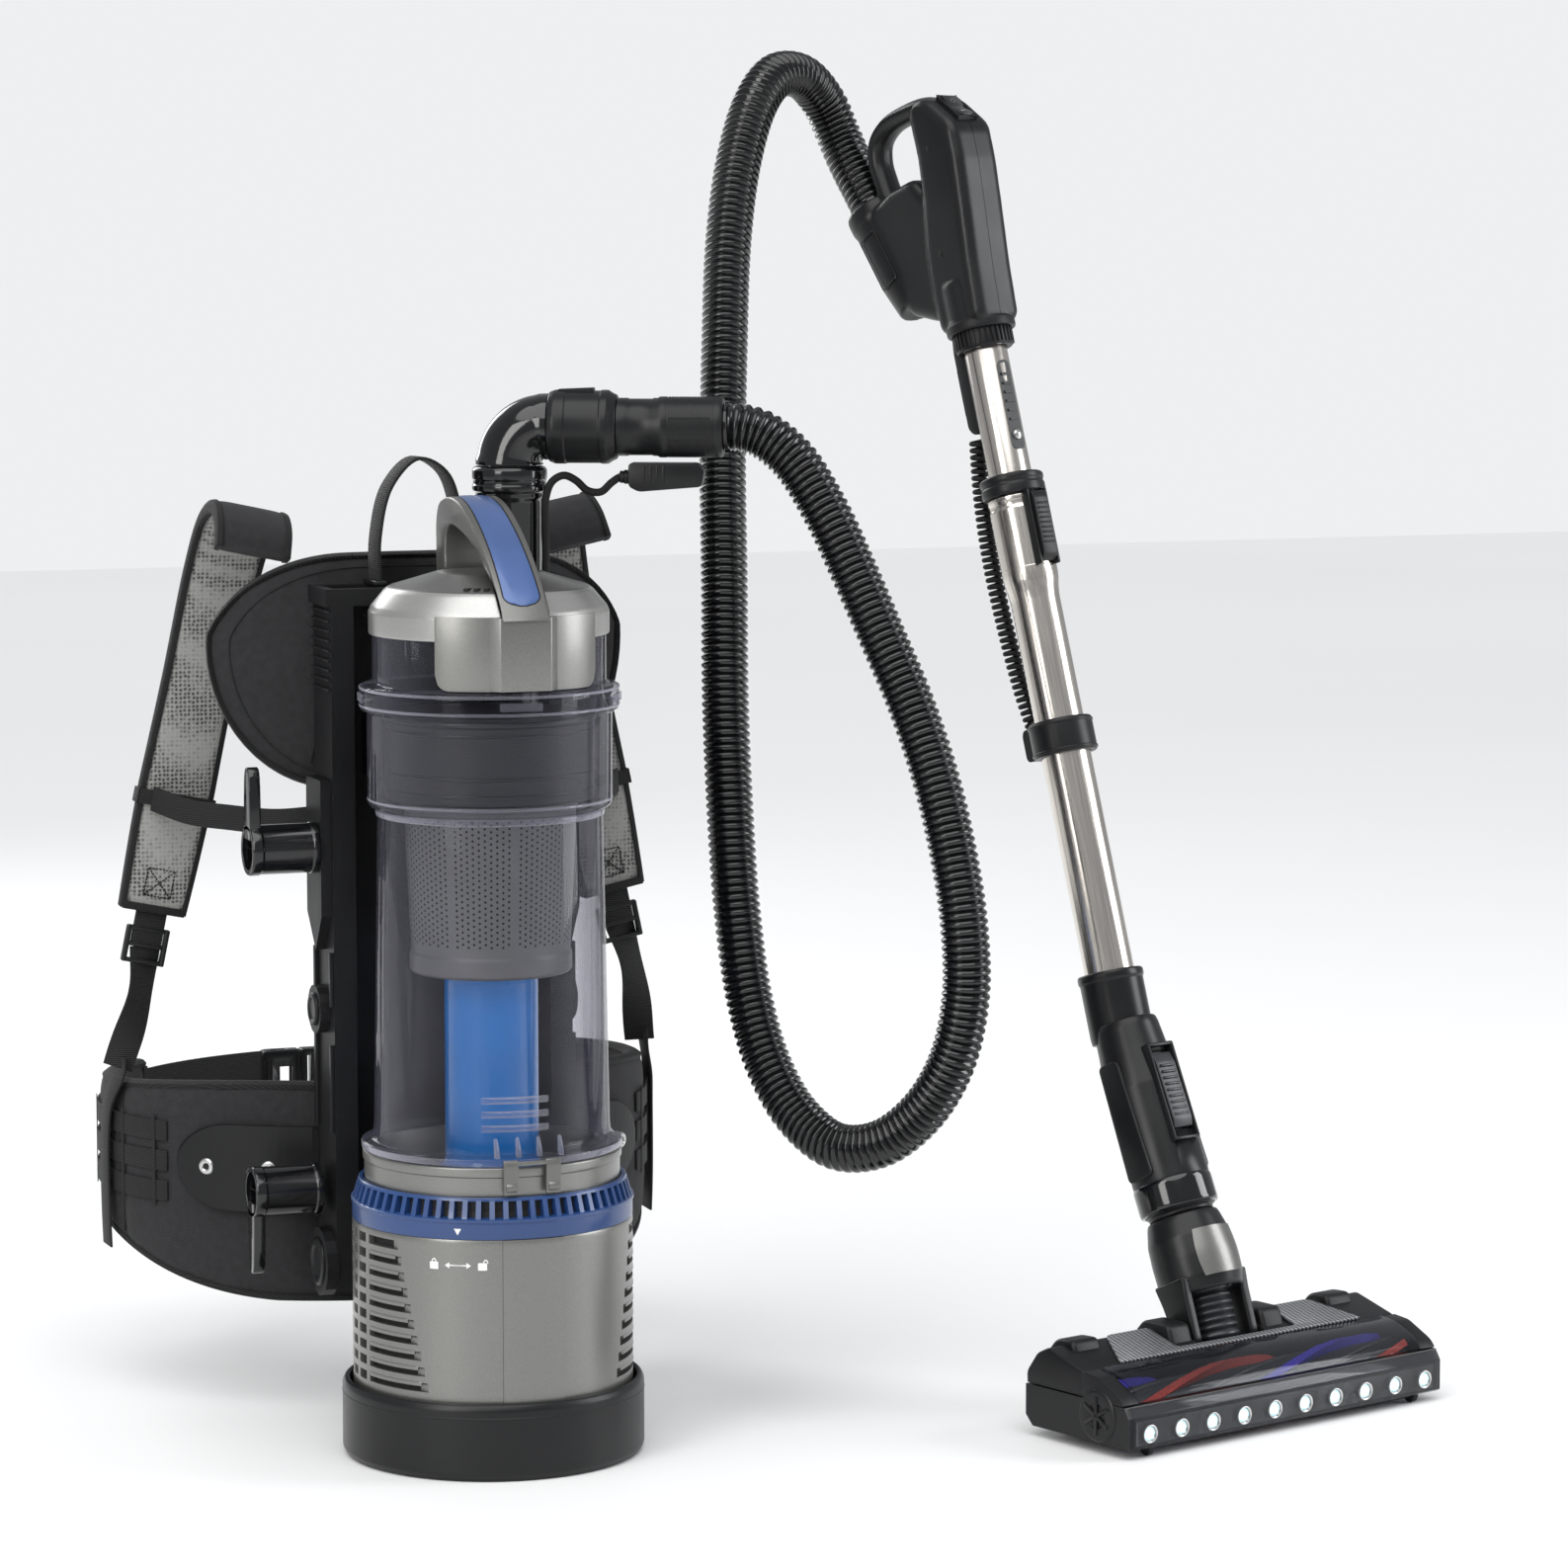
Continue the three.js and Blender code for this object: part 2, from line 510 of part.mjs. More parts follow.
// ---- power head, neck and wand, each in its own leaning frame ----
function makeHead(head) {
  const half = HEAD_W / 2;
  const base = sideways(shapeOf([
    [HEAD_FRONT + 3, 8], [HEAD_BACK - 8, 8], [HEAD_BACK, 16], [HEAD_BACK, 40], [HEAD_FRONT + 8, 40],
    [HEAD_FRONT + 3, 32],
  ]), -half, half);
  const chamber = alongX(rod(26.5, -half + 10, half - 10, 20)).translate(0, BRUSH_Y, BRUSH_Z);
  const mouth = block([-half + 14, BRUSH_Y - 20, 0], [half - 14, BRUSH_Y + 20, 20]);
  const arches = [-1, 1].map((side) => sideBlock(side, 96, 132, [4, 0], [50, 38]));
  const axleSlot = block([-100, 15, 0], [100, 27, 26]);
  const rollerSlot = block([-150, HEAD_FRONT + 3.5, 0], [150, HEAD_FRONT + 16.5, 16]);
  add(head, 'head_base', 'black_plastic', cut(base, chamber, mouth, ...arches, axleSlot, rollerSlot));

  const cover = sideways(shapeOf([
    [COVER_FRONT, 40 + GAP], [HEAD_BACK, 40 + GAP], [HEAD_BACK, 50], [24, 66], [12, 71.8], [COVER_FRONT, 60],
  ]), -half, half);
  const cheeks = [-1, 1].map((side) => sideBlock(side, 38, 62, [-16, 44], [30, 78]));
  const endOutline = shapeOf([
    [HEAD_FRONT + 8, 40 + GAP], [COVER_FRONT + 1, 40 + GAP], [COVER_FRONT + 1, 60], [BRUSH_Y, 58],
    [HEAD_FRONT + 14, 47],
  ]);
  const ends = [-1, 1].map((side) => sideways(endOutline, ...spanOf(side, half - 16, half)));
  const notch = block([-37, -23, 39], [37, 60, 100]);
  const pinHole = alongX(rod(5.7, -50, 50)).translate(0, 0, PIVOT_Z);
  const chamberTop = alongX(rod(27, -half + 10, half - 10, 20)).translate(0, BRUSH_Y, BRUSH_Z);
  add(head, 'head_cover', 'black_plastic', cut(join(cover, ...cheeks, ...ends), notch, pinHole, chamberTop));

  const pane = curve2([
    [HEAD_FRONT + 9.5, 41.5], [HEAD_FRONT + 14, 48], [BRUSH_Y - 2, 58.2], [COVER_FRONT - 1.5, 60.5],
  ]);
  const paneHalf = half - 16.5;
  add(head, 'brush_window', 'smoke_plastic', sideways(strip(pane, -1.2, 1.2, 10), -paneHalf, paneHalf));

  const trim = new THREE.Shape();
  trim.moveTo(-130, 0);
  trim.lineTo(130, 0);
  trim.lineTo(108, 42);
  trim.lineTo(64, 42);
  trim.lineTo(64, 7);
  trim.lineTo(-64, 7);
  trim.lineTo(-64, 42);
  trim.lineTo(-108, 42);
  const panel = flat(trim, 0, 2.5).rotateX(Math.atan2(11.8, 12 - COVER_FRONT));
  add(head, 'trim_panel', 'trim', panel.translate(0, COVER_FRONT, 60 + 1.5 * GAP));

  add(head, 'led_bumper', 'smoke_plastic', sideways(shapeOf([
    [HEAD_FRONT, 8], [HEAD_FRONT + 2.6, 8], [HEAD_FRONT + 2.6, 32], [HEAD_FRONT + 7.4, 39.5],
    [HEAD_FRONT + 4, 39.5], [HEAD_FRONT, 33],
  ]), -half + 4, half - 4));

  add(head, 'brush_roll', 'bristle', alongX(turned([
    [0, -half + 12], [5, -half + 12], [5, -half + 16], [24, -half + 17], [24, half - 17], [5, half - 16],
    [5, half - 12], [0, half - 12],
  ], 20)).translate(0, BRUSH_Y, BRUSH_Z));
  add(head, 'rear_wheels', 'rubber', wheelSet(16, 3.5, 114, 12).translate(0, 21, 16));
  add(head, 'front_rollers', 'rubber', wheelSet(6, 2.2, 142, 6).translate(0, HEAD_FRONT + 10, 6));
}

// Two wheels on one thin axle along X.
function wheelSet(radius, axle, centre, width) {
  const near = centre - width / 2;
  const far = centre + width / 2;
  return alongX(turned([
    [0, -far], [radius - 1, -far], [radius, -far + 1], [radius, -near - 1], [radius - 1, -near],
    [axle, -near], [axle, near], [radius - 1, near], [radius, near + 1], [radius, far - 1],
    [radius - 1, far], [0, far],
  ], SMALL_ROUND));
}

function makeNeck(head) {
  const neck = group(head, [0, 0, PIVOT_Z], { x: -NECK_LEAN });
  const core = turned([[0, 32], [31, 32], [34, 44], [33, 78], [28, 96], [0, 96]], 20);
  const ears = [-1, 1].map((side) => join(
    sideBlock(side, 26, 34, [-12, 0], [12, 40]),
    alongX(rod(12, ...spanOf(side, 26, 34))),
    alongX(rod(5, ...spanOf(side, 33, 48)))));
  add(neck, 'pivot_shell', 'black_plastic', cut(join(core, ...ears), rod(21, 20, 60, 20)));
  add(head, 'neck_duct', 'dark_grey', cordAlong([
    [0, 18, 100], [0, 11, 86], [0, 5, 72], [0, 0, 58], [0, -1, 47], [0, -1, 41.5],
  ], 19.5, 8, 16));

  const wand = group(neck, [0, 0, NECK_L], { x: NECK_LEAN - TUBE_LEAN });
  wand.updateMatrix();
  const socket = rod(25.5, -60, 0, 20).applyMatrix4(wand.matrix);
  const bore = rod(TUBE_R + 0.4, -44, 6, 20).applyMatrix4(wand.matrix);
  const body = turned([
    [0, 96 + GAP], [26, 96 + GAP], [26, 120], [31, 124], [31, 205], [26, 258], [0, 258],
  ], 20);
  const pocket = block([-10.6, -45, 160], [10.6, -22, 224]);
  add(neck, 'neck_body', 'black_plastic', cut(join(body, socket), bore, pocket));
  add(neck, 'neck_release', 'dark_grey', block([-10, -33, 160.6], [10, -25.5, 223.4]));
  return wand;
}

function makeWand(wand) {
  add(wand, 'outer_tube', 'steel', ring([
    [18.6, -42], [TUBE_R, -42], [TUBE_R, 312], [22.5, 324], [22.5, 391], [18.6, 391],
  ], 20));
  add(wand, 'tube_top_ring', 'black_plastic', pipe(26, 18.2, 391 + GAP, 408, 20));
  add(wand, 'slide_button', 'black_plastic', block([-7, -31, 334], [7, -23, 390]));
  const clip = cut(block([-8, 20, 180], [8, 38, 204]), rod(TUBE_R + GAP, 170, 210, 20));
  add(wand, 'clip_ring', 'black_plastic', join(pipe(26, TUBE_R + GAP, 178, 206, 20), clip));
  add(wand, 'curly_cord', 'rubber', cordAlong([
    [0, 31, 206.6], [-2, 35, 240], [-4, 38, 300], [-4, 39, 350], [-2, 37, 400], [0, 30, 449.5],
  ], 7.5, 12, 8));
}

function makeHandle(wand) {
  const grip = group(wand, [0, 0, TUBE_L]);
  const tube = pipe(INNER_R, 15.9, 120 - TUBE_L, 8, 20);
  const pinHole = rod(5.2, 10, 20).rotateX(Math.PI / 2).translate(0, 0, -91);
  add(grip, 'inner_tube', 'steel', cut(tube, pinHole));
  add(grip, 'pin_button', 'steel', rod(4.6, 12, 20.5).rotateX(Math.PI / 2).translate(0, 0, -91));

  const outline = new THREE.Shape();
  outline.moveTo(-27, 0);
  outline.bezierCurveTo(-30, 60, -38, 120, -37, 166);
  outline.lineTo(-10, 196);
  outline.bezierCurveTo(20, 203, 58, 204, 76, 196);
  outline.bezierCurveTo(91, 188, 92, 170, 84, 156);
  outline.lineTo(76.7, 141);
  outline.lineTo(123.3, 123);
  outline.lineTo(98, 58);
  outline.bezierCurveTo(80, 20, 45, 20, 27, 0);
  const finger = new THREE.Shape();
  finger.moveTo(26, 140);
  finger.bezierCurveTo(16, 150, 16, 178, 28, 181);
  finger.bezierCurveTo(48, 185, 68, 183, 71, 172);
  finger.bezierCurveTo(72, 156, 60, 140, 26, 140);
  const fingerGap = sideways(finger, -30, 30, 6);
  const bore = rod(INNER_R + GAP, -90, 12, 20);
  const switchPocket = switchBlock(9, 15, -9, 10);
  const sheath = cut(block([-8, 17, -80], [8, 31, 4]), block([-9, 0, -0.4], [GAP / 2, 40, 10]));
  const halves = [['handle_left', -26, -GAP / 2], ['handle_right', GAP / 2, 26]];
  for (const [name, low, high] of halves) {
    const half = sideways(outline, low, high, 6);
    const whole = name === 'handle_right' ? join(half, sheath) : half;
    add(grip, name, 'black_plastic', cut(whole, bore, fingerGap, switchPocket));
  }
  add(grip, 'power_switch', 'gloss_black', switchBlock(8, 13.5, -5, 3.5));
}

// Block on the sloping face above the nose of the handle.
function switchBlock(halfWidth, halfLength, low, high) {
  const slope = Math.atan2(30, 27);
  return block([-halfWidth, -halfLength, low], [halfWidth, halfLength, high])
    .rotateX(slope)
    .translate(0, -23.5, 181);
}

makeMotorUnit();
makeBin();
makeLid();
makeInlet();
makeFrame();
makeHarness();
makeBelt();
makeHose();
const head = group(vacuum, [HEAD_X, HEAD_Y, 0], { z: HEAD_YAW });
makeHead(head);
const wand = makeNeck(head);
makeWand(wand);
makeHandle(wand);

export default vacuum;
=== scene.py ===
import math
import random

import bmesh
import bpy
import numpy as np
from mathutils import Matrix, Vector, noise

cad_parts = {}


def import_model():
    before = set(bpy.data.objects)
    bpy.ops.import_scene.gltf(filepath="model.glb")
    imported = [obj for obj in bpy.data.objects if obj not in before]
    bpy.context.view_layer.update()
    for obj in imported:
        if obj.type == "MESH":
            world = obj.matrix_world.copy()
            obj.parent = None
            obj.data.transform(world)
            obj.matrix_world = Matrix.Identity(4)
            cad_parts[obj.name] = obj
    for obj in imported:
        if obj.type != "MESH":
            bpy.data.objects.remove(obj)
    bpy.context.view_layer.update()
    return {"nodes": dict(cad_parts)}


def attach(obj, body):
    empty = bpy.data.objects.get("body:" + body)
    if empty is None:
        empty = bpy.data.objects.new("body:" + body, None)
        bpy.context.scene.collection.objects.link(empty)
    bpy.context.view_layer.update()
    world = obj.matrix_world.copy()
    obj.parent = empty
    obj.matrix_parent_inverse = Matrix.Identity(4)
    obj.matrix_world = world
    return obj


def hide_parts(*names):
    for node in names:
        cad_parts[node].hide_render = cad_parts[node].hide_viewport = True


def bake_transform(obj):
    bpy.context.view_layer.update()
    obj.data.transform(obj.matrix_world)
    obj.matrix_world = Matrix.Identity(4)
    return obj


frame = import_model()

# ---------------------------------------------------------------- dimensions, in millimetres
HOUSING_R, HOUSING_TOP = 106.5, 181
BIN_BOTTOM_R = 89.5
INLET_X, INLET_Y, DUCT_Z, DUCT_HEADING = 52, 114, 773, -24
BELT_A, BELT_B, BELT_Y, BELT_T, BELT_END = 215, 168, 330, 22, 128
STRAP_SPLAY = 11.9
HOSE_R, LEAD_R = 19, 3
HEAD_X, HEAD_Y, HEAD_YAW, HEAD_W = 568, -80, 19, 335
HEAD_FRONT, HEAD_BACK, COVER_FRONT = -84, 36, -30
PIVOT_Z, NECK_LEAN, NECK_L, TUBE_LEAN, TUBE_L = 62, 25, 300, 17.4, 530
BRUSH_Y, BRUSH_Z = -46, 29
MM = 0.001
rng = random.Random(7)

# ---------------------------------------------------------------- frames
def place(parent, at=(0, 0, 0), rx=0.0, ry=0.0, rz=0.0):
    turn = Matrix.Rotation(math.radians(rz), 4, "Z") @ Matrix.Rotation(math.radians(ry), 4, "Y")
    return parent @ Matrix.Translation(at) @ turn @ Matrix.Rotation(math.radians(rx), 4, "X")


WORLD = Matrix.Identity(4)
DUCT = place(WORLD, (INLET_X, INLET_Y, DUCT_Z), rz=DUCT_HEADING)
HEAD = place(WORLD, (HEAD_X, HEAD_Y, 0), rz=HEAD_YAW)
NECK = place(HEAD, (0, 0, PIVOT_Z), rx=-NECK_LEAN)
WAND = place(NECK, (0, 0, NECK_L), rx=NECK_LEAN - TUBE_LEAN)
GRIP = place(WAND, (0, 0, TUBE_L))
ALONG_X = Matrix.Rotation(math.pi / 2, 4, "Y")


def world(matrix, point):
    return (matrix @ Vector(point)) * MM


# ---------------------------------------------------------------- camera
camera = bpy.data.objects.new("camera", bpy.data.cameras.new("camera"))
bpy.context.scene.collection.objects.link(camera)
camera.data.lens = 124.76
camera.data.sensor_width = 36
camera.location = (-1.1837, -3.9004, 0.9741)
camera.rotation_euler = (math.radians(90 - 6.509), 0, math.radians(-20))
bpy.context.scene.camera = camera


# ---------------------------------------------------------------- materials
class Paint:
    """A procedural material being wired."""

    def __init__(self, name):
        self.material = bpy.data.materials.new(name)
        self.material.use_nodes = True
        self.tree = self.material.node_tree
        self.shader = self.tree.nodes["Principled BSDF"]
        self.coords = self.tree.nodes.new("ShaderNodeTexCoord").outputs["Object"]

    def node(self, kind, **values):
        made = self.tree.nodes.new(kind)
        for key, value in values.items():
            if key in made.inputs:
                made.inputs[key].default_value = value
            else:
                setattr(made, key, value)
        return made

    def link(self, source, target):
        self.tree.links.new(source, target)

    def noise(self, scale, detail=3.0, stretch=None):
        made = self.node("ShaderNodeTexNoise", Scale=scale, Detail=detail)
        source = self.coords
        if stretch:
            mapping = self.node("ShaderNodeMapping", Scale=stretch)
            self.link(source, mapping.inputs["Vector"])
            source = mapping.outputs[0]
        self.link(source, made.inputs["Vector"])
        return made.outputs["Fac"]

    def wave(self, scale, axis="Z", kind="SIN", distortion=0.0):
        made = self.node("ShaderNodeTexWave", Scale=scale, Distortion=distortion)
        made.bands_direction = axis
        made.wave_profile = kind
        self.link(self.coords, made.inputs["Vector"])
        return made.outputs["Fac"]

    def span(self, source, low, high, start=0.0, end=1.0):
        made = self.node("ShaderNodeMapRange")
        for key, value in (("From Min", start), ("From Max", end), ("To Min", low), ("To Max", high)):
            made.inputs[key].default_value = value
        self.link(source, made.inputs["Value"])
        return made.outputs[0]

    def maths(self, how, a, b):
        made = self.node("ShaderNodeMath", operation=how)
        for socket, value in zip(made.inputs, (a, b)):
            if isinstance(value, (int, float)):
                socket.default_value = value
            else:
                self.link(value, socket)
        return made.outputs[0]

    def ramp(self, source, *stops):
        made = self.node("ShaderNodeValToRGB")
        points = made.color_ramp.elements
        while len(points) < len(stops):
            points.new(0.5)
        for point, (at, colour) in zip(points, stops):
            point.position = at
            point.color = (*colour, 1)
        self.link(source, made.inputs[0])
        return made.outputs[0]

    def bump(self, source, distance, strength=1.0, under=None):
        made = self.node("ShaderNodeBump", Strength=strength, Distance=distance)
        self.link(source, made.inputs["Height"])
        if under:
            self.link(under, made.inputs["Normal"])
        return made.outputs[0]

    def set(self, **values):
        for key, value in values.items():
            socket = self.shader.inputs[key.replace("_", " ")]
            if isinstance(value, bpy.types.NodeSocket):
                self.link(value, socket)
            else:
                socket.default_value = (*value, 1) if isinstance(value, tuple) and len(value) == 3 else value
        return self


def shade(colour, factor):
    return tuple(min(1.0, c * factor) for c in colour)


def moulded(name, colour, rough=0.4, grain=0.00006, metallic=0.0, coat=0.0, scale=900.0, spread=0.06,
            shine=0.5):
    """Moulded plastic: fine grain, uneven gloss, slight colour drift."""
    p = Paint(name)
    fine, broad = p.noise(scale, 2.0), p.noise(14.0, 4.0)
    p.set(
        Base_Color=p.ramp(broad, (0.3, shade(colour, 0.88)), (0.7, shade(colour, 1.12))),
        Roughness=p.span(broad, rough - spread, rough + spread, 0.3, 0.7),
        Normal=p.bump(fine, grain, 0.6),
        Metallic=metallic,
        Specular_IOR_Level=shine,
        Coat_Weight=coat,
        Coat_Roughness=0.08,
    )
    return p.material


def painted(name, colour, metallic, rough):
    """Metallic paint: flakes in the colour and a clear coat."""
    p = Paint(name)
    flake = p.noise(2600.0, 1.0)
    broad = p.noise(9.0, 3.0)
    p.set(
        Base_Color=p.ramp(flake, (0.35, shade(colour, 0.84)), (0.65, shade(colour, 1.14))),
        Roughness=p.span(broad, rough - 0.05, rough + 0.05, 0.3, 0.7),
        Normal=p.bump(flake, 0.00004, 0.35),
        Metallic=metallic,
        Coat_Weight=0.25,
        Coat_Roughness=0.16,
    )
    return p.material


def brushed(name, colour, rough):
    """Steel drawn along the wand's own axis, so fine lines run down it."""
    p = Paint(name)
    axis = (WAND.to_3x3() @ Vector((0, 0, 1))).normalized()
    turn = axis.rotation_difference(Vector((0, 0, 1))).to_euler()
    mapping = p.node("ShaderNodeMapping", Rotation=tuple(turn))
    p.link(p.coords, mapping.inputs["Vector"])
    stretched = p.node("ShaderNodeMapping", Scale=(900, 900, 14))
    p.link(mapping.outputs[0], stretched.inputs["Vector"])
    lines = p.node("ShaderNodeTexNoise", Scale=1.0, Detail=3.0)
    p.link(stretched.outputs[0], lines.inputs["Vector"])
    p.set(
        Base_Color=p.ramp(lines.outputs["Fac"], (0.3, shade(colour, 0.9)), (0.7, shade(colour, 1.06))),
        Roughness=p.span(lines.outputs["Fac"], rough - 0.05, rough + 0.07, 0.3, 0.7),
        Normal=p.bump(lines.outputs["Fac"], 0.00003, 0.5),
        Metallic=1.0,
    )
    return p.material


def clear(name, tint, body, edge, low, high):
    """Clear plastic: see-through face on, denser and shinier at its rims."""
    p = Paint(name)
    p.set(
        Base_Color=p.ramp(p.noise(6.0, 2.0), (0.3, shade(body, 0.9)), (0.7, shade(body, 1.1))),
        Roughness=p.span(p.noise(30.0, 3.0), 0.02, 0.06),
        Specular_IOR_Level=1.0,
    )
    through = p.node("ShaderNodeBsdfTransparent", Color=(*tint, 1))
    facing = p.node("ShaderNodeLayerWeight", Blend=edge)
    mix = p.node("ShaderNodeMixShader")
    p.link(p.span(facing.outputs["Facing"], low, high), mix.inputs[0])
    p.link(through.outputs[0], mix.inputs[1])
    p.link(p.shader.outputs[0], mix.inputs[2])
    p.link(mix.outputs[0], p.tree.nodes["Material Output"].inputs["Surface"])
    return p.material


def twill(name, colour, pitch=0.0011):
    """Twill weave: diagonal ridges crossed by threads, with lint in the colour."""
    p = Paint(name)
    split = p.node("ShaderNodeSeparateXYZ")
    p.link(p.coords, split.inputs[0])
    x, y, z = split.outputs
    along = p.maths("ADD", x, p.maths("MULTIPLY", y, 0.8))
    turns = 2 * math.pi / pitch
    diagonal = p.maths("SINE", p.maths("MULTIPLY", p.maths("ADD", along, z), turns), 0)
    cross = p.maths("SINE", p.maths("MULTIPLY", p.maths("SUBTRACT", along, z), turns), 0)
    weave = p.span(p.maths("ADD", diagonal, p.maths("MULTIPLY", cross, 0.45)), 0, 1, -1.45, 1.45)
    soft = p.bump(p.noise(45.0, 4.0), 0.0012, 0.35)
    lint = p.noise(160.0, 5.0)
    blend = p.maths("ADD", p.maths("MULTIPLY", weave, 0.55), p.maths("MULTIPLY", lint, 0.45))
    p.set(
        Base_Color=p.ramp(blend, (0.15, shade(colour, 0.45)), (0.5, colour), (0.9, shade(colour, 1.9))),
        Roughness=p.span(lint, 0.78, 0.95),
        Normal=p.bump(weave, 0.0003, 0.7, soft),
        Specular_IOR_Level=0.2,
        Sheen_Weight=0.08,
        Sheen_Roughness=0.5,
    )
    return p.material


def ribbed(name, colour, pitch, axis):
    """Webbing: ribs across the strap and threads along it."""
    p = Paint(name)
    ribs = p.wave(math.pi / (10 * pitch), axis)
    threads = p.noise(1500.0, 2.0)
    p.set(
        Base_Color=p.ramp(ribs, (0.1, shade(colour, 0.45)), (0.8, shade(colour, 1.5))),
        Roughness=p.span(threads, 0.6, 0.85),
        Normal=p.bump(ribs, 0.0004, 0.8, p.bump(threads, 0.0002, 0.5)),
        Specular_IOR_Level=0.25,
        Sheen_Weight=0.05,
    )
    return p.material


def air_mesh(name, colour, pitch=0.0034):
    """Spacer mesh: rows of round openings in a pale knit, the openings painted near-black as shade in the
    holes.
    """
    p = Paint(name)
    cells = p.node("ShaderNodeTexVoronoi", Scale=1 / pitch, Randomness=0.25)
    p.link(p.coords, cells.inputs["Vector"])
    gap = cells.outputs["Distance"]
    knit = p.noise(1100.0, 3.0)
    p.set(
        Base_Color=p.ramp(gap, (0.16, shade(colour, 0.1)), (0.3, shade(colour, 0.75)),
                          (0.6, shade(colour, 1.25))),
        Roughness=0.9,
        Normal=p.bump(p.span(gap, 0, 1, 0.1, 0.45), 0.0009, 0.9, p.bump(knit, 0.0003, 0.5)),
        Sheen_Weight=0.15,
    )
    return p.material


def diamond(name, colour, pitch=0.0042):
    """Pressed diamond weave with a metallic finish."""
    p = Paint(name)
    yaw = p.node("ShaderNodeMapping", Rotation=(0, 0, math.radians(HEAD_YAW)))
    yaw.vector_type = "TEXTURE"
    p.link(p.coords, yaw.inputs["Vector"])
    split = p.node("ShaderNodeSeparateXYZ")
    p.link(yaw.outputs[0], split.inputs[0])
    x, y = split.outputs[0], split.outputs[1]
    turns = 2 * math.pi / pitch
    one = p.maths("SINE", p.maths("MULTIPLY", p.maths("ADD", x, p.maths("MULTIPLY", y, 1.9)), turns / 2), 0)
    two = p.maths("SINE",
                  p.maths("MULTIPLY", p.maths("SUBTRACT", x, p.maths("MULTIPLY", y, 1.9)), turns / 2), 0)
    tile = p.maths("MULTIPLY", one, two)
    p.set(
        Base_Color=p.ramp(p.span(tile, 0, 1, -1, 1), (0.25, shade(colour, 0.22)),
                          (0.75, shade(colour, 1.3))),
        Roughness=p.span(tile, 0.42, 0.28, -1, 1),
        Metallic=0.75,
        Normal=p.bump(tile, 0.0006, 0.8),
    )
    return p.material


def glowing(name, colour, power):
    p = Paint(name)
    p.set(
        Base_Color=p.ramp(p.noise(300.0), (0.3, shade(colour, 0.9)), (0.7, colour)),
        Emission_Color=(*colour, 1),
        Emission_Strength=power,
        Roughness=0.3,
    )
    return p.material


def tufted(name, colour):
    """Bristles: fine dark lines between glossy strands."""
    p = Paint(name)
    strands = p.noise(1300.0, 2.0)
    p.set(
        Base_Color=p.ramp(strands, (0.35, shade(colour, 0.3)), (0.6, colour), (0.8, shade(colour, 1.5))),
        Roughness=p.span(strands, 0.4, 0.7),
        Normal=p.bump(strands, 0.0006, 0.9),
    )
    return p.material


BLACK = moulded("black_satin", (0.0085, 0.0088, 0.0095), 0.34, 0.00006, shine=0.3)
BLACK_SOFT = moulded("black_grained", (0.008, 0.0082, 0.009), 0.42, 0.0001, scale=600, shine=0.25)
GLOSS = moulded("black_gloss", (0.004, 0.0042, 0.0048), 0.12, 0.00002, coat=0.5, spread=0.03, shine=0.35)
HOSE_PAINT = moulded("hose_gloss", (0.0045, 0.0048, 0.0052), 0.18, 0.00003, coat=0.45, spread=0.04,
                     shine=0.3)
SILVER = painted("silver_paint", (0.22, 0.22, 0.208), 0.8, 0.36)
# Darker and lighter copies of the silver paint: painted shade on the lid's dome, painted highlight on the
# lid's rim and the light strip.
SILVER_SHADED_DOME = painted("silver_dome_painted_shade", (0.16, 0.16, 0.152), 0.75, 0.34)
SILVER_PAINTED_HIGHLIGHT = painted("silver_painted_highlight", (0.4, 0.4, 0.385), 0.75, 0.3)
# A darker copy of the silver paint: painted shade on the latch hooks, the carry arch and the pivot panel.
SILVER_PAINTED_SHADE = painted("silver_shadow", (0.17, 0.17, 0.16), 0.7, 0.36)
GREY = moulded("shroud_grey", (0.125, 0.125, 0.127), 0.4, 0.000006, spread=0.02, scale=200)
CHARCOAL = moulded("charcoal", (0.02, 0.021, 0.024), 0.36, 0.000006, spread=0.02, scale=200)
# Near-black that stands in for shade: painted shade in slots, holes, vents, seams and gaps.
PAINTED_SHADE = moulded("shadow_black", (0.004, 0.004, 0.0045), 0.7)
NAVY = moulded("navy", (0.016, 0.05, 0.165), 0.34, coat=0.25)
SKY = moulded("periwinkle", (0.06, 0.115, 0.29), 0.32, 0.00002, metallic=0.2, coat=0.35, spread=0.03)
AZURE = moulded("azure", (0.008, 0.15, 0.46), 0.25, 0.00002, coat=0.4, spread=0.03)
CLEAR = clear("clear_bin", (0.955, 0.955, 0.975), (0.07, 0.07, 0.09), 0.3, 0.02, 0.75)
# A lighter copy of the clear plastic: painted highlight on the bin's ribs, rims and tabs.
CLEAR_PAINTED_HIGHLIGHT = clear("clear_painted_highlight", (0.9, 0.9, 0.94), (0.42, 0.42, 0.48), 0.45, 0.06, 0.8)
SMOKE = clear("smoke", (0.92, 0.93, 0.95), (0.012, 0.013, 0.016), 0.3, 0.035, 0.85)
TWILL = twill("charcoal_twill", (0.022, 0.022, 0.0235))
BINDING = ribbed("binding_tape", (0.01, 0.01, 0.0106), 0.0012, "DIAGONAL")
WEB_Z = ribbed("webbing_across", (0.012, 0.012, 0.0127), 0.0016, "Z")
MESH = air_mesh("air_mesh", (0.24, 0.24, 0.23))
STEEL = brushed("drawn_steel", (0.62, 0.585, 0.54), 0.2)
RIVET = painted("rivet_steel", (0.55, 0.55, 0.54), 0.95, 0.24)
TRIM = diamond("woven_trim", (0.36, 0.37, 0.38))
RED = tufted("red_bristle", (0.62, 0.05, 0.025))
VIOLET = tufted("violet_bristle", (0.06, 0.035, 0.6))
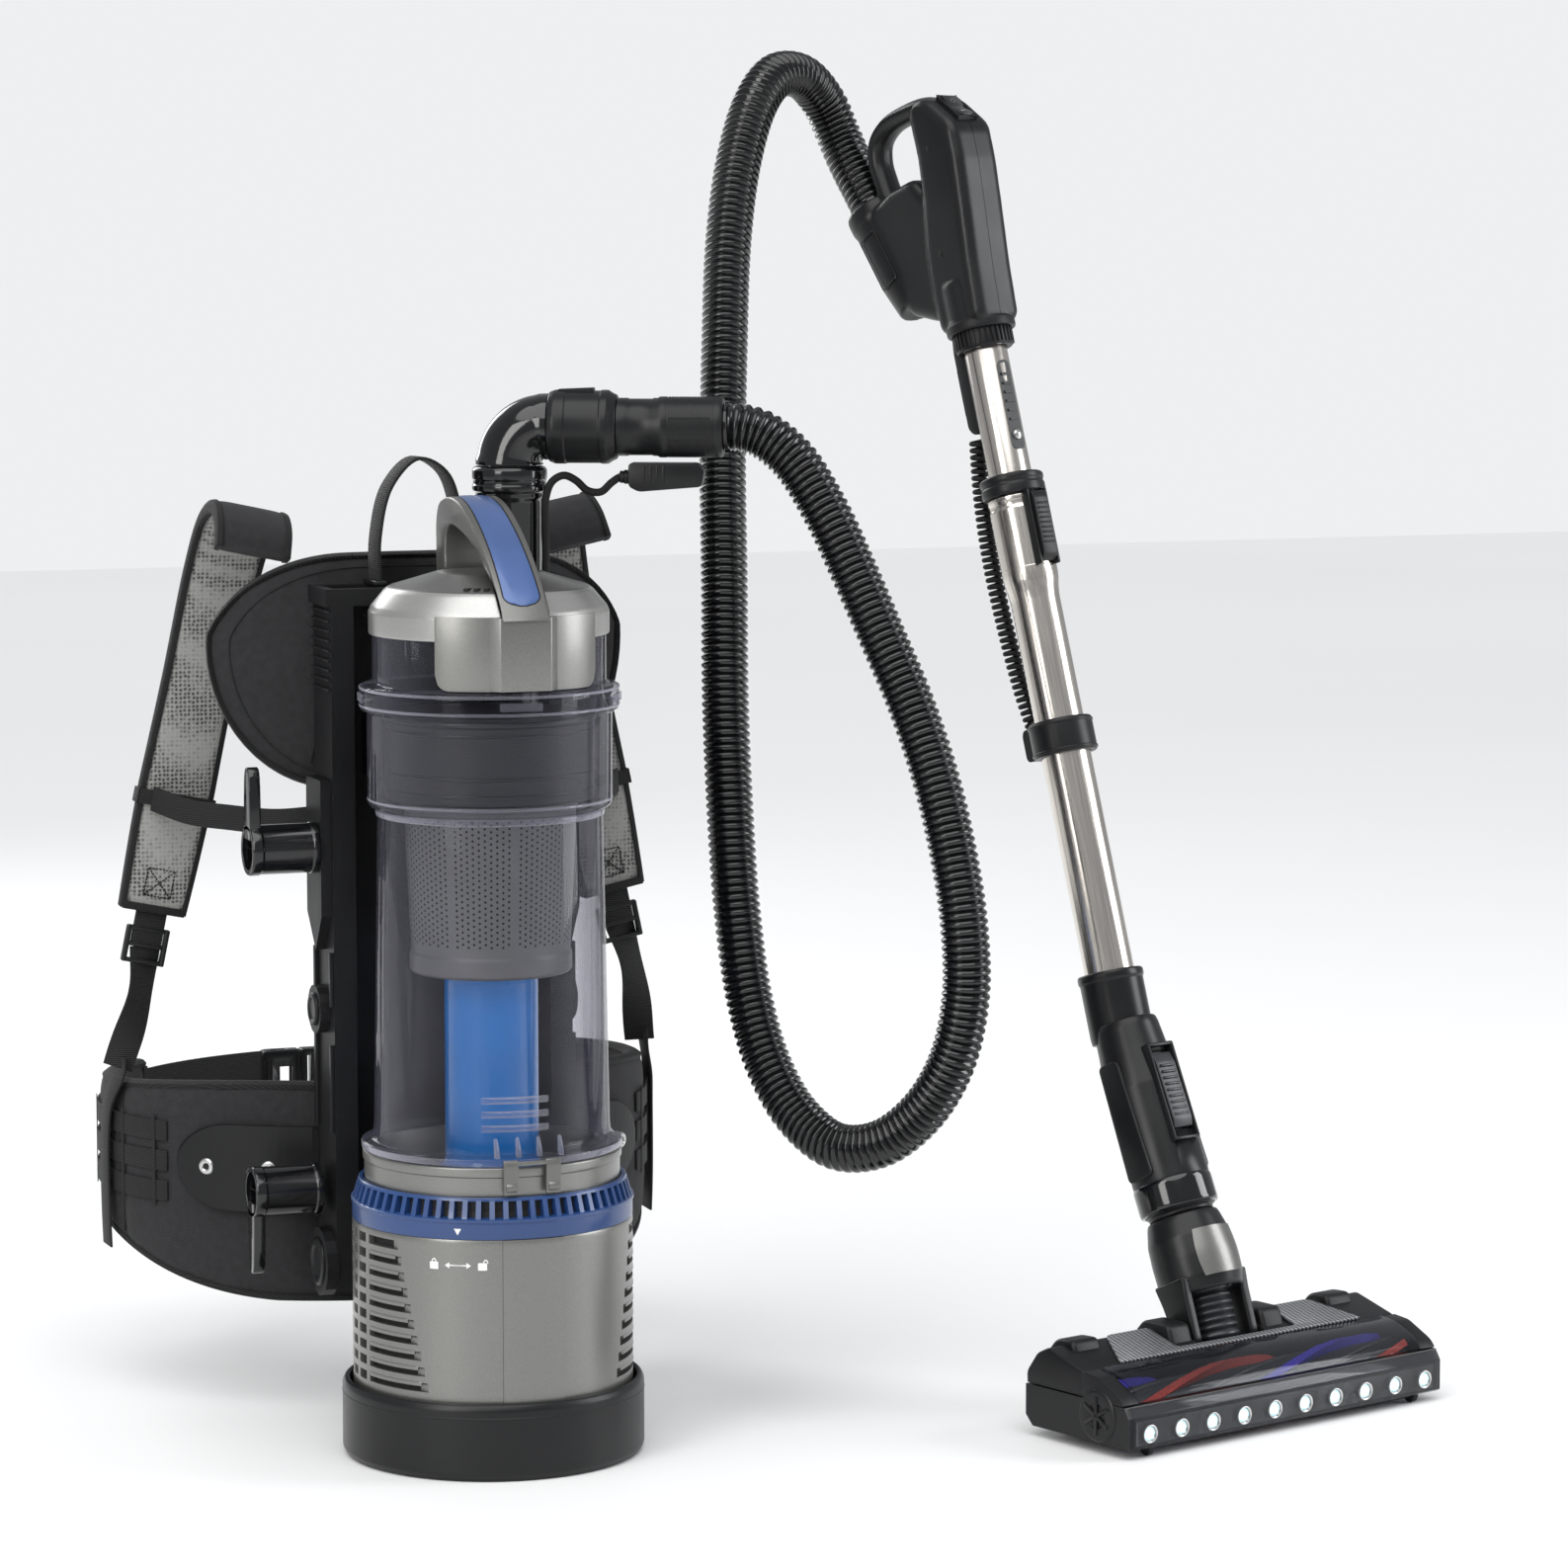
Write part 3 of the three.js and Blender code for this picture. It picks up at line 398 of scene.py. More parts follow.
RUBBER = moulded("rubber", (0.009, 0.009, 0.0095), 0.62, 0.00012, scale=500, shine=0.25)
LED = glowing("led_light", (0.5, 0.9, 1.0), 3.0)
WHITE_MARK = moulded("white_mark", (0.75, 0.75, 0.74), 0.4)
PAPER = tufted("filter_paper", (0.75, 0.73, 0.66))


# ---------------------------------------------------------------- shapes, as (points, faces)
def lathe(profile, steps=96, loop=False):
    """Turned about Z. The profile is a list of (radius, z); a loop closes on itself."""
    points, faces, rows = [], [], []
    for r, z in profile:
        if r < 1e-6:
            rows.append([len(points)] * steps)
            points.append((0, 0, z))
            continue
        rows.append(list(range(len(points), len(points) + steps)))
        for i in range(steps):
            a = 2 * math.pi * i / steps
            points.append((r * math.cos(a), r * math.sin(a), z))
    pairs = list(zip(rows, rows[1:] + (rows[:1] if loop else [])))
    for low, high in pairs:
        for i in range(steps):
            j = (i + 1) % steps
            face = []
            for k in (low[i], low[j], high[j], high[i]):
                if k not in face:
                    face.append(k)
            if len(face) > 2:
                faces.append(face)
    return points, faces


def soften(profile, radius=1.0, steps=3, loop=False):
    """Rounds the corners of a profile of (a, b) points."""
    made = []
    count = len(profile)
    for i, p in enumerate(profile):
        if not loop and i in (0, count - 1):
            made.append(p)
            continue
        before, after = Vector(profile[i - 1]), Vector(profile[(i + 1) % count])
        here = Vector(p)
        to_a, to_b = before - here, after - here
        if to_a.length < 1e-6 or to_b.length < 1e-6:
            made.append(p)
            continue
        reach = min(radius, 0.45 * to_a.length, 0.45 * to_b.length)
        start, end = here + to_a.normalized() * reach, here + to_b.normalized() * reach
        for k in range(steps + 1):
            t = k / steps
            made.append(tuple(start * (1 - t) ** 2 + here * 2 * t * (1 - t) + end * t * t))
    return made


def turned(profile, radius, steps, sides=96):
    """A lathed solid that starts and ends on the axis, its corners rounded."""
    return lathe(soften(profile, radius, steps), sides)


def ring(profile, radius, steps, sides=96):
    """A lathed ring with a closed profile, its corners rounded."""
    return lathe(soften(profile, radius, steps, True), sides, True)


def wall(rows, angles, radius):
    """A round wall from (base radius, z) rows; radius(base, degrees, z) gives each point's own radius.
    Angles run from -Y, positive towards +X."""
    points, faces = [], []
    n = len(angles)
    for base, z in rows:
        for a in angles:
            r = radius(base, a, z)
            points.append((r * math.sin(math.radians(a)), -r * math.cos(math.radians(a)), z))
    for i in range(len(rows) - 1):
        for j in range(n):
            k = (j + 1) % n
            faces.append([i * n + j, i * n + k, (i + 1) * n + k, (i + 1) * n + j])
    return points, faces


def prism(outline, low, high, axis="Z"):
    """An outline extruded along an axis: Z takes (x, y), X takes (y, z), Y takes (x, z)."""
    def lift(a, b, c):
        return {"Z": (a, b, c), "X": (c, a, b), "Y": (a, c, b)}[axis]
    n = len(outline)
    points = [lift(a, b, low) for a, b in outline] + [lift(a, b, high) for a, b in outline]
    faces = [list(range(n)), list(range(2 * n - 1, n - 1, -1))]
    faces += [[i, (i + 1) % n, (i + 1) % n + n, i + n] for i in range(n)]
    return points, faces


def brick(low, high):
    (a, b, c), (d, e, f) = low, high
    return prism([(a, b), (d, b), (d, e), (a, e)], c, f)


def moved(part, matrix):
    points, faces = part[0], part[1]
    return ([tuple(matrix @ Vector(p)) for p in points], faces, *part[2:])


def inked(part, index):
    """The same part with the piece's material of that index."""
    return part[0], part[1], index


def circle(radius, steps, squash=1.0):
    return [(radius * math.cos(2 * math.pi * i / steps), squash * radius * math.sin(2 * math.pi * i / steps))
            for i in range(steps)]


def centripetal(points, pieces_per_span):
    """A centripetal Catmull-Rom curve through the points."""
    p = [Vector(q) for q in points]
    p = [p[0] * 2 - p[1]] + p + [p[-1] * 2 - p[-2]]
    made = []
    for i in range(1, len(p) - 2):
        t = [0.0]
        for a, b in zip(p[i - 1:i + 2], p[i:i + 3]):
            t.append(t[-1] + max((b - a).length, 1e-6) ** 0.5)
        for k in range(pieces_per_span):
            u = t[1] + (t[2] - t[1]) * k / pieces_per_span
            a = [p[i - 1 + m] * ((t[m + 1] - u) / (t[m + 1] - t[m])) +
                 p[i + m] * ((u - t[m]) / (t[m + 1] - t[m])) for m in range(3)]
            b = [a[m] * ((t[m + 2] - u) / (t[m + 2] - t[m])) +
                 a[m + 1] * ((u - t[m]) / (t[m + 2] - t[m])) for m in range(2)]
            made.append(b[0] * ((t[2] - u) / (t[2] - t[1])) + b[1] * ((u - t[1]) / (t[2] - t[1])))
    made.append(p[-2])
    return made


def even(points, step):
    """Points at equal distances along a line."""
    line = [Vector(p) for p in points]
    reach = [0.0]
    for a, b in zip(line, line[1:]):
        reach.append(reach[-1] + (b - a).length)
    count = max(2, round(reach[-1] / step))
    made, k = [], 0
    for i in range(count + 1):
        d = reach[-1] * i / count
        while k < len(reach) - 2 and reach[k + 1] < d:
            k += 1
        span = reach[k + 1] - reach[k]
        made.append(line[k].lerp(line[k + 1], (d - reach[k]) / span if span else 0))
    return made


def axes_along(line, up=(0, 0, 1)):
    """A turning-free frame at each point: (tangent, side, up)."""
    made = []
    for i in range(len(line)):
        tangent = (line[min(i + 1, len(line) - 1)] - line[max(i - 1, 0)]).normalized()
        lift = Vector(up) if not made else made[-1][2]
        side = tangent.cross(lift)
        if side.length < 1e-4:
            side = tangent.orthogonal()
        side.normalize()
        made.append((tangent, side, side.cross(tangent).normalized()))
    return made


def sweep(line, section, up=(0, 0, 1), caps=True):
    """A section of (side, up) points carried along a line; it may be a function of the point's number."""
    line = [Vector(p) for p in line]
    points, faces = [], []
    for i, (p, (_, side, lift)) in enumerate(zip(line, axes_along(line, up))):
        shape = section(i) if callable(section) else section
        points += [tuple(p + side * a + lift * b) for a, b in shape]
    n = len(points) // len(line)
    for i in range(len(line) - 1):
        for j in range(n):
            k = (j + 1) % n
            faces.append([i * n + j, i * n + k, (i + 1) * n + k, (i + 1) * n + j])
    if caps:
        faces += [list(range(n - 1, -1, -1)), list(range(len(points) - n, len(points)))]
    return points, faces


def tube(line, radius, sides=12, up=(0, 0, 1)):
    return sweep(line, circle(radius, sides), up)


# ---------------------------------------------------------------- pieces
def finish_mesh(bm, name, paints, sharp):
    bmesh.ops.recalc_face_normals(bm, faces=bm.faces)
    mesh = bpy.data.meshes.new(name)
    bm.to_mesh(mesh)
    bm.free()
    for paint in paints:
        mesh.materials.append(paint)
    mesh.shade_smooth()
    mesh.set_sharp_from_angle(angle=math.radians(sharp))
    obj = bpy.data.objects.new(name, mesh)
    bpy.context.scene.collection.objects.link(obj)
    return obj


def piece(name, parts, paints, body, nodes=(), at=WORLD, bevel=0.0, segments=2, sharp=35, edges=30):
    """Builds a piece from parts in the frame at (mm), bevels its sharp edges, and rides it on a body."""
    parts = parts if isinstance(parts, list) else [parts]
    paints = paints if isinstance(paints, list) else [paints]
    bm = bmesh.new()
    for part in parts:
        corners = [bm.verts.new(world(at, p)) for p in part[0]]
        for face in part[1]:
            made = bm.faces.new([corners[i] for i in face])
            if len(part) > 2:
                made.material_index = part[2]
    bmesh.ops.remove_doubles(bm, verts=bm.verts, dist=1e-6)
    if bevel:
        bmesh.ops.recalc_face_normals(bm, faces=bm.faces)
        chosen = [e for e in bm.edges
                  if len(e.link_faces) == 2 and e.calc_face_angle(0) > math.radians(edges)]
        bmesh.ops.bevel(bm, geom=chosen, offset=bevel * MM, segments=segments, profile=0.5,
                        affect="EDGES", clamp_overlap=True)
    obj = finish_mesh(bm, name, paints, sharp)
    if body:
        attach(obj, body)
    if nodes:
        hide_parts(*([nodes] if isinstance(nodes, str) else nodes))
    return obj


def cut_with(obj, *parts, at=WORLD):
    """Takes parts out of a piece before it rides."""
    for part in parts:
        tool = piece(f"{obj.name}_tool", [part], [BLACK], None, at=at)
        modifier = obj.modifiers.new("cut", "BOOLEAN")
        modifier.operation, modifier.object, modifier.solver = "DIFFERENCE", tool, "EXACT"
        settled(obj)
        bpy.data.objects.remove(tool)
    return obj


def settled(obj):
    """Applies every modifier."""
    bpy.context.view_layer.update()
    evaluated = obj.evaluated_get(bpy.context.evaluated_depsgraph_get())
    mesh = bpy.data.meshes.new_from_object(evaluated)
    obj.modifiers.clear()
    old, obj.data = obj.data, mesh
    bpy.data.meshes.remove(old)
    return obj


def keep(node, paint, bevel=0.8, segments=2):
    """A CAD node that stays, with a finish and softened edges."""
    obj = frame["nodes"][node]
    obj.data.materials.clear()
    obj.data.materials.append(paint)
    modifier = obj.modifiers.new("soft_edges", "BEVEL")
    modifier.width, modifier.segments = bevel * MM, segments
    modifier.limit_method, modifier.angle_limit = "ANGLE", math.radians(32)
    obj.modifiers.new("even_shading", "WEIGHTED_NORMAL").keep_sharp = True
    return obj


# ---------------------------------------------------------------- cords
HOSE_ROUTE = [
    (204.3, 46.2, 773), (213.4, 42.1, 773), (230, 34.5, 768), (251, 22, 749), (272, 5, 709), (289, -9, 665),
    (306, -25, 616), (324, -41, 564), (338, -57, 509), (348, -69, 453), (354, -78, 397), (355, -80, 341),
    (346, -73, 288), (328, -55, 247), (303, -32, 221), (278, -3, 216), (257, 26, 236), (242, 50, 272),
    (233, 71, 323), (229, 89, 392), (230, 108, 468), (234, 130, 552), (242, 155, 644), (252, 187, 736),
    (266, 222, 829), (282, 257, 915), (301, 284, 980), (323, 305, 1025), (348, 326, 1046), (378, 346, 1045),
    (402, 358, 1024), (414, 357, 998), (420.5, 347.5, 976.5), (426.7, 330.5, 953.4), (430.9, 318.1, 936.9),
]
PIGTAIL_ROUTE = [
    (91, 0, -38), (86, 0, -38.5), (79, -1, -43), (71, -2, -50), (61, -4, -49), (52, -6, -41), (43, -9, -37),
    (34, -11, -42), (29, -11, -56), (29, -11, -80), (29, -11, -100), (29, -11, -119),
]
CURLY_ROUTE = [(0, 31, 206.6), (-2, 35, 240), (-4, 38, 300), (-4, 39, 350), (-2, 37, 400), (0, 30, 449.5)]
RIB_PITCH, RIB_DEPTH = 6.2, 2.4
CURL_PITCH, CURL_R, CURL_CORD = 5.6, 5.3, 4.2


def make_hose():
    """Ribbed hose: one round crest and one narrow valley to each rib."""
    line = even(centripetal(HOSE_ROUTE, 12), RIB_PITCH / 6)
    depth = (0.0, 0.45, 0.9, 1.0, 0.9, 0.45)
    ends = 3

    def section(i):
        crest = depth[i % 6] if ends < i < len(line) - ends else 0.2
        return circle(HOSE_R - 0.2 - RIB_DEPTH * (1 - crest), 32)
    hose = piece("hose_ribbed", sweep(line, section), HOSE_PAINT, None, "hose", sharp=80)
    path = [p * MM for p in even(centripetal(HOSE_ROUTE, 12), 6)]
    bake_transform(hose)


def make_pigtail():
    line = even(centripetal(PIGTAIL_ROUTE, 10), 2.0)
    lead = piece("pigtail_cord", tube(line, LEAD_R, 16), RUBBER, None, "pigtail_lead", at=DUCT, sharp=80)
    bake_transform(lead)


def make_curly():
    """Coiled cord between the clip and the handle's sheath."""
    spine = even(centripetal(CURLY_ROUTE, 16), 0.35)
    spine = spine[8:-8]
    frames = axes_along(spine, (0, 1, 0))
    line, reach = [], 0.0
    for i, (p, (_, side, lift)) in enumerate(zip(spine, frames)):
        reach += (p - spine[i - 1]).length if i else 0
        turn = 2 * math.pi * reach / CURL_PITCH
        line.append(p + CURL_R * (math.cos(turn) * side + math.sin(turn) * lift))
    cord = piece("curly_lead", tube(line, CURL_CORD / 2, 8), RUBBER, None, "curly_cord", at=WAND, sharp=80)
    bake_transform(cord)


def make_plug():
    """Connector under the cuffs: a grooved body with a stepped strain relief."""
    outline = soften([(93, -27.5), (146, -27.5), (151.5, -33), (149.5, -45.5), (101, -49.5), (93, -45.5)],
                     3, 4, True)
    body = prism(outline, -10.6, 10.6, "Y")
    ribs = [prism(soften([(x, -29), (x + 2.2, -29), (x + 2.2, -44), (x, -44)], 0.8, 2, True), -11, 11, "Y")
            for x in (104, 109, 114, 119)]
    relief = moved(lathe([(0, 0)] + [(4.2 + 0.35 * i + (0.5 if i % 2 else -0.4),
                                      1.6 * i) for i in range(7)] +
                         [(0, 9.6)], 24), place(WORLD, (85, 0, -38.5), ry=90))
    return piece("plug_block", [body, *ribs, relief], BLACK, "wand", "connector_plug", at=DUCT, bevel=0.7,
                 edges=50)


plug_block = make_plug()
make_hose()
make_pigtail()
make_curly()


# ---------------------------------------------------------------- floor and light
def make_stage():
    floor = piece("floor", brick((-9000, -9000, -20), (9000, 9000, -0.4)), [BLACK], None)
    p = Paint("floor_paint")
    p.set(Base_Color=p.ramp(p.noise(0.7), (0.3, (0.84, 0.84, 0.84)), (0.7, (0.86, 0.86, 0.86))),
          Roughness=0.5,
          Specular_IOR_Level=0.35)
    floor.data.materials[0] = p.material
    sky = bpy.data.worlds.new("studio")
    sky.use_nodes = True
    sky.node_tree.nodes["Background"].inputs["Color"].default_value = (0.95, 0.97, 1.0, 1)
    sky.node_tree.nodes["Background"].inputs["Strength"].default_value = 0.42
    seen = sky.node_tree.nodes.new("ShaderNodeLightPath")
    backdrop = sky.node_tree.nodes.new("ShaderNodeBackground")
    backdrop.inputs["Color"].default_value = (0.86, 0.865, 0.875, 1)
    choice = sky.node_tree.nodes.new("ShaderNodeMixShader")
    sky.node_tree.links.new(seen.outputs["Is Camera Ray"], choice.inputs[0])
    sky.node_tree.links.new(sky.node_tree.nodes["Background"].outputs[0], choice.inputs[1])
    sky.node_tree.links.new(backdrop.outputs[0], choice.inputs[2])
    sky.node_tree.links.new(choice.outputs[0], sky.node_tree.nodes["World Output"].inputs["Surface"])
    bpy.context.scene.world = sky
    bpy.context.scene.view_settings.view_transform = "Standard"
    lamps = [
        ("key", (-2.6, -1.9, 1.7), 2.0, 46, (1, 0.99, 0.97)),
        ("strip_right", (2.9, -1.0, 1.3), 1.9, 46, (0.97, 0.98, 1)),
        ("back", (-0.6, 3.0, 1.7), 1.8, 26, (1, 1, 1)),
    ]
    sun = bpy.data.objects.new("soft_overhead", bpy.data.lights.new("soft_overhead", "SUN"))
    sun.data.energy, sun.data.angle = 2.2, 1.1
    sun.rotation_euler = (math.radians(24), math.radians(-14), 0)
    bpy.context.scene.collection.objects.link(sun)
    for name, at, size, power, colour in lamps:
        lamp = bpy.data.objects.new(name, bpy.data.lights.new(name, "AREA"))
        lamp.data.shape, lamp.data.size, lamp.data.size_y = "RECTANGLE", size * 0.6, size
        lamp.data.energy, lamp.data.color = power, colour
        lamp.location = at
        lamp.rotation_euler = (Vector((0.25, 0.1, 0.5)) - Vector(at)).to_track_quat("-Z", "Y").to_euler()
        bpy.context.scene.collection.objects.link(lamp)


make_stage()


# ---------------------------------------------------------------- canister: motor unit
def spread(*edges, step=3.0, skin=0.12):
    """Angles from -180 to 180 with a close pair at each edge."""
    angles = {round(-180 + step * i, 3) for i in range(round(360 / step))}
    angles |= {round(e + s * skin, 3) for e in edges for s in (-1, 1)}
    return sorted(a for a in angles if -180 <= a < 180)


def on_drum(outline, degrees, z, radius, thick=0.35, scale=1.0):
    """A small flat shape wrapped on a round wall; outline in mm about its own centre."""
    made = []
    for r in (radius - 0.4, radius + thick):
        for u, v in outline:
            a = math.radians(degrees) + u * scale / radius
            made.append((r * math.sin(a), -r * math.cos(a), z + v * scale))
    n = len(outline)
    faces = [list(range(n)), list(range(2 * n - 1, n - 1, -1))]
    return made, faces + [[i, (i + 1) % n, (i + 1) % n + n, i + n] for i in range(n)]


def make_foot():
    body = turned([(0, 0.5), (107, 0.5), (109, 0), (112, 0), (115, 5), (115, 53.5), (113, 58), (109.3, 58),
                         (109.3, 44), (0, 44)], 1.6, 4, 128)
    seam = lathe([(114.9, 46.8), (115.25, 47.2), (115.25, 48), (114.9, 48.4)], 128)
    piece("foot_shell", [body, seam], BLACK, "backpack", "base_foot")


def louvre_rows():
    return [64.5 + 11.7 * i for i in range(10)]


def louvre_at(z):
    """Number of the louvre at height z, or None."""
    for i, low in enumerate(louvre_rows()):
        if low - 1e-3 <= z <= low + 6.2 + 1e-3:
            return i
    return None


def inner_edge(i):
    return 44 + 14.5 * i / 9


COLUMNS = [(80.5, 87.5), (90.5, 97.5), (100.5, 107.5), (110.5, 117.5)]


def make_housing():
    edges = [s * e for s in (-1, 1) for pair in COLUMNS for e in pair]
    edges += [s * inner_edge(i) for s in (-1, 1) for i in range(10)] + [77.5, -77.5, 12.9, -12.9]

    def radius(base, a, z):
        if base < HOUSING_R - 0.5:
            return base
        side = abs(a)
        if side < 12.9:
            return base + 0.9
        i = louvre_at(z)
        if i is None:
            return base
        if any(low < side < high for low, high in COLUMNS):
            return base - 4.5
        if inner_edge(i) < side < 77.5:
            slope = min(1.0, (side - inner_edge(i)) / 6)
            return base - 1.5 - 3.0 * slope
        return base
    rows = [(0, 20), (104, 20), (HOUSING_R, 22), (HOUSING_R, 60)]
    for low in louvre_rows():
        rows += [(HOUSING_R, low - 0.35), (HOUSING_R, low), (HOUSING_R, low + 6.2), (HOUSING_R, low + 6.55)]
    rows = [r for r in rows if r[1] < 180] + [(HOUSING_R, 179.4), (106, HOUSING_TOP), (99.5, HOUSING_TOP),
                                               (99.5, 176), (0, 176)]
    shell = wall(rows, spread(*edges, step=2.5), radius)
    obj = piece("motor_shell", shell, [SILVER, PAINTED_SHADE], "backpack", "motor_housing", sharp=32)
    # Faces deep in the slots and louvres take the near-black: painted shade in the recesses.
    for face in obj.data.polygons:
        c = face.center / MM
        if math.hypot(c.x, c.y) < HOUSING_R - 3.6 and abs(face.normal.z) < 0.5 and 60 < c.z < 178:
            face.material_index = 1
    bars = []
    for s in (-1, 1):
        for i, low in enumerate(louvre_rows()[:9]):
            a, b = s * (inner_edge(i) + 3), s * 77
            line = [((HOUSING_R - 0.6) * math.sin(math.radians(a + (b - a) * k / 14)),
                     -(HOUSING_R - 0.6) * math.cos(math.radians(a + (b - a) * k / 14)), low + 5.6)
                    for k in range(15)]
            bars.append(sweep(line, [(-1.0, -1.6), (1.1, -1.6), (0.7, 1.3), (-1.0, 1.6)]))
    piece("louvre_blades", bars, SILVER, "backpack", bevel=0.35, segments=2)
    marks = []
    lock = [(-3.4, -4.4), (3.4, -4.4), (3.4, 1.2), (-3.4, 1.2)]
    for at, lift in ((-41, 0), (-21, 2.4)):
        marks.append(on_drum(soften(lock, 0.7, 2, True), at, 163, HOUSING_R))
        bow = [(1.9 * math.cos(t), 1 + 2.9 * math.sin(t)) for t in np.linspace(0, math.pi, 9)]
        bow += [(1.1 * math.cos(t), 1 + 2.0 * math.sin(t)) for t in np.linspace(math.pi, 0, 9)]
        marks.append(on_drum([(u + lift, v) for u, v in bow], at, 163, HOUSING_R))
    arrow = [(-10, 0), (-6.6, 2.3), (-6.6, 0.5), (6.6, 0.5), (6.6, 2.3), (10, 0), (6.6, -2.3), (6.6, -0.5),
             (-6.6, -0.5), (-6.6, -2.3)]
    marks.append(on_drum(arrow, -31, 162, HOUSING_R))
    marks.append(on_drum([(-2.8, 2.2), (2.8, 2.2), (0, -2.6)], -31, 187.5, HOUSING_R))
    piece("lock_symbols", marks, WHITE_MARK, "backpack")


def make_exhaust_ring():
    count = 64
    pitch = 360 / count
    slots = [(-180 + pitch * i + 0.9, -180 + pitch * i + 0.9 + pitch * 0.62) for i in range(count)]
    angles = sorted({round(e + d, 3) for pair in slots for e,
                     s in zip(pair, (1, -1)) for d in (0, s * 0.22)})

    def open_at(a):
        return (a + 180) % pitch >= 0.9 + 0.2 and (a + 180) % pitch <= 0.9 + pitch * 0.62 - 0.2

    def radius(base, a, z):
        return base - 6.5 if 197 < z < 209.5 and base > 99 and open_at(a) else base
    rows = [(99, 181.6), (106.2, 181.4), (106.5, 182.2), (106.5, 193.2), (107.3, 194.2), (107.3, 196.4),
            (106.2, 196.9), (106.0, 197.2), (102.3, 209.3), (102.0, 209.6), (101.5, 211.4), (100.8, 212),
            (98.2, 212), (98.2, 196), (98.2, 183)]
    obj = piece("finned_ring", wall(rows, angles, radius), [NAVY, PAINTED_SHADE], "exhaust_ring", "exhaust_ring",
                sharp=30)
    # Faces inside the slots between the fins take the near-black: painted shade in the slots.
    for face in obj.data.polygons:
        c = face.center / MM
        if math.hypot(c.x,
                      c.y) < 101.2 - (c.z - 197) * 0.3 and 197.1 < c.z < 209.4 and abs(face.normal.z) < 0.8:
            face.material_index = 1


def make_motor_inside():
    keep("vacuum_motor", CHARCOAL, 1.5)
    keep("fan_rotor", RIVET, 0.6)
    pleats = []
    for i in range(240):
        a = 2 * math.pi * i / 240
        r = 94.5 if i % 2 else 88
        pleats.append((r * math.cos(a), r * math.sin(a)))
    body = prism(pleats, 157, 196)
    caps = [ring([(63, z), (95, z), (95, z + 4), (63, z + 4)], 0.8, 2, 96)
            for z in (153.4, 195.8)]
    piece("pleated_filter", [body, *[inked(c, 1) for c in caps]], [PAPER, NAVY], "backpack", "hepa_filter")


make_foot()
make_housing()
make_exhaust_ring()
make_motor_inside()


# ---------------------------------------------------------------- canister: bin, cyclone, lid
def make_door():
    body = turned([(0, 209), (96, 207.3), (97, 208.5), (97, 226), (98.2, 227), (98.2, 233), (97.2, 234),
                         (93, 234), (93, 212), (0, 212)], 0.8, 3, 128)
    piece("door_ring", body, SILVER, "backpack", "bin_door")
    hooks = []
    for s in (-1, 1):
        x = s * 16.5
        profile = soften([(-99.6, 214), (-102.2, 214), (-103, 217), (-103, 236), (-102, 240),
                          (-100.1, 240.2),
                          (-100.1, 237.6), (-100.9, 236)], 0.8, 3, True)
        hooks.append(prism(profile, x - 5.6, x + 5.6, "X"))
        hooks.append(prism(soften([(-102.8, 216), (-104.4, 218), (-104.4, 221), (-102.8, 223)], 0.5, 2,
                                  True),
                           x - 4, x + 4, "X"))
    hooks.append(prism(soften([(-100.3, 235.8), (-102.6, 235.8), (-102.6, 239.2), (-100.3, 239.2)], 0.8, 3,
                              True),
                       -17, 17, "X"))
    # The hooks take the darker silver copy: painted shade.
    piece("latch_hooks", hooks, SILVER_PAINTED_SHADE, "bin_latch", "bin_latch", bevel=0.5)


def bowed(radius, angles, z, depth, height):
    """A rounded rib that follows a round wall and fades out at both ends."""
    line = [(radius * math.sin(math.radians(a)), -radius * math.cos(math.radians(a)), z) for a in angles]
    n = len(line) - 1

    def section(i):
        fade = min(1.0, 4 * min(i, n - i) / n + 0.12)
        return [(depth * fade * math.cos(t), height / 2 * math.sin(t))
                for t in np.linspace(0, 2 * math.pi, 12, endpoint=False)]
    return sweep(line, section)


def make_bin():
    section = [(89, 234.4), (98.5, 234.4), (98.5, 240.8), (92.5, 242.6), (90.2, 246), (89.5, 252), (85, 493),
               (82.6, 493), (87, 252), (86.8, 246)]
    body = ring(section, 1.2, 3, 160)
    piece("bin_shell", body, CLEAR, "backpack", "dust_bin")
    span = np.linspace(-22, 11, 25)
    ribs = [bowed(BIN_BOTTOM_R - (z - 244) * 0.018 + 0.6, span, z, 2.6, 5.2) for z in (262, 272.5, 283)]
    bosses = []
    for x in (-16.5, 16.5):
        for s in (-1, 1):
            lug = soften([(-90.5, 241), (-97.6, 241), (-97.6, 246), (-90, 256)], 1.2, 3, True)
            bosses.append(prism(lug, x + s * 8.4 - 1.3, x + s * 8.4 + 1.3, "X"))
    rim = ring([(98.2, 235), (98.9, 235.4), (98.9, 239.6), (98.2, 240.2)], 0.5, 3, 160)
    top = ring([(84.9, 487), (86.4, 488), (86.4, 491.5), (84.7, 492.6)], 0.5, 3, 160)
    # Ribs, lugs and rims take the lighter clear copy: painted highlight.
    piece("bin_ribs", [*ribs, *bosses, rim, top], CLEAR_PAINTED_HIGHLIGHT, "backpack")


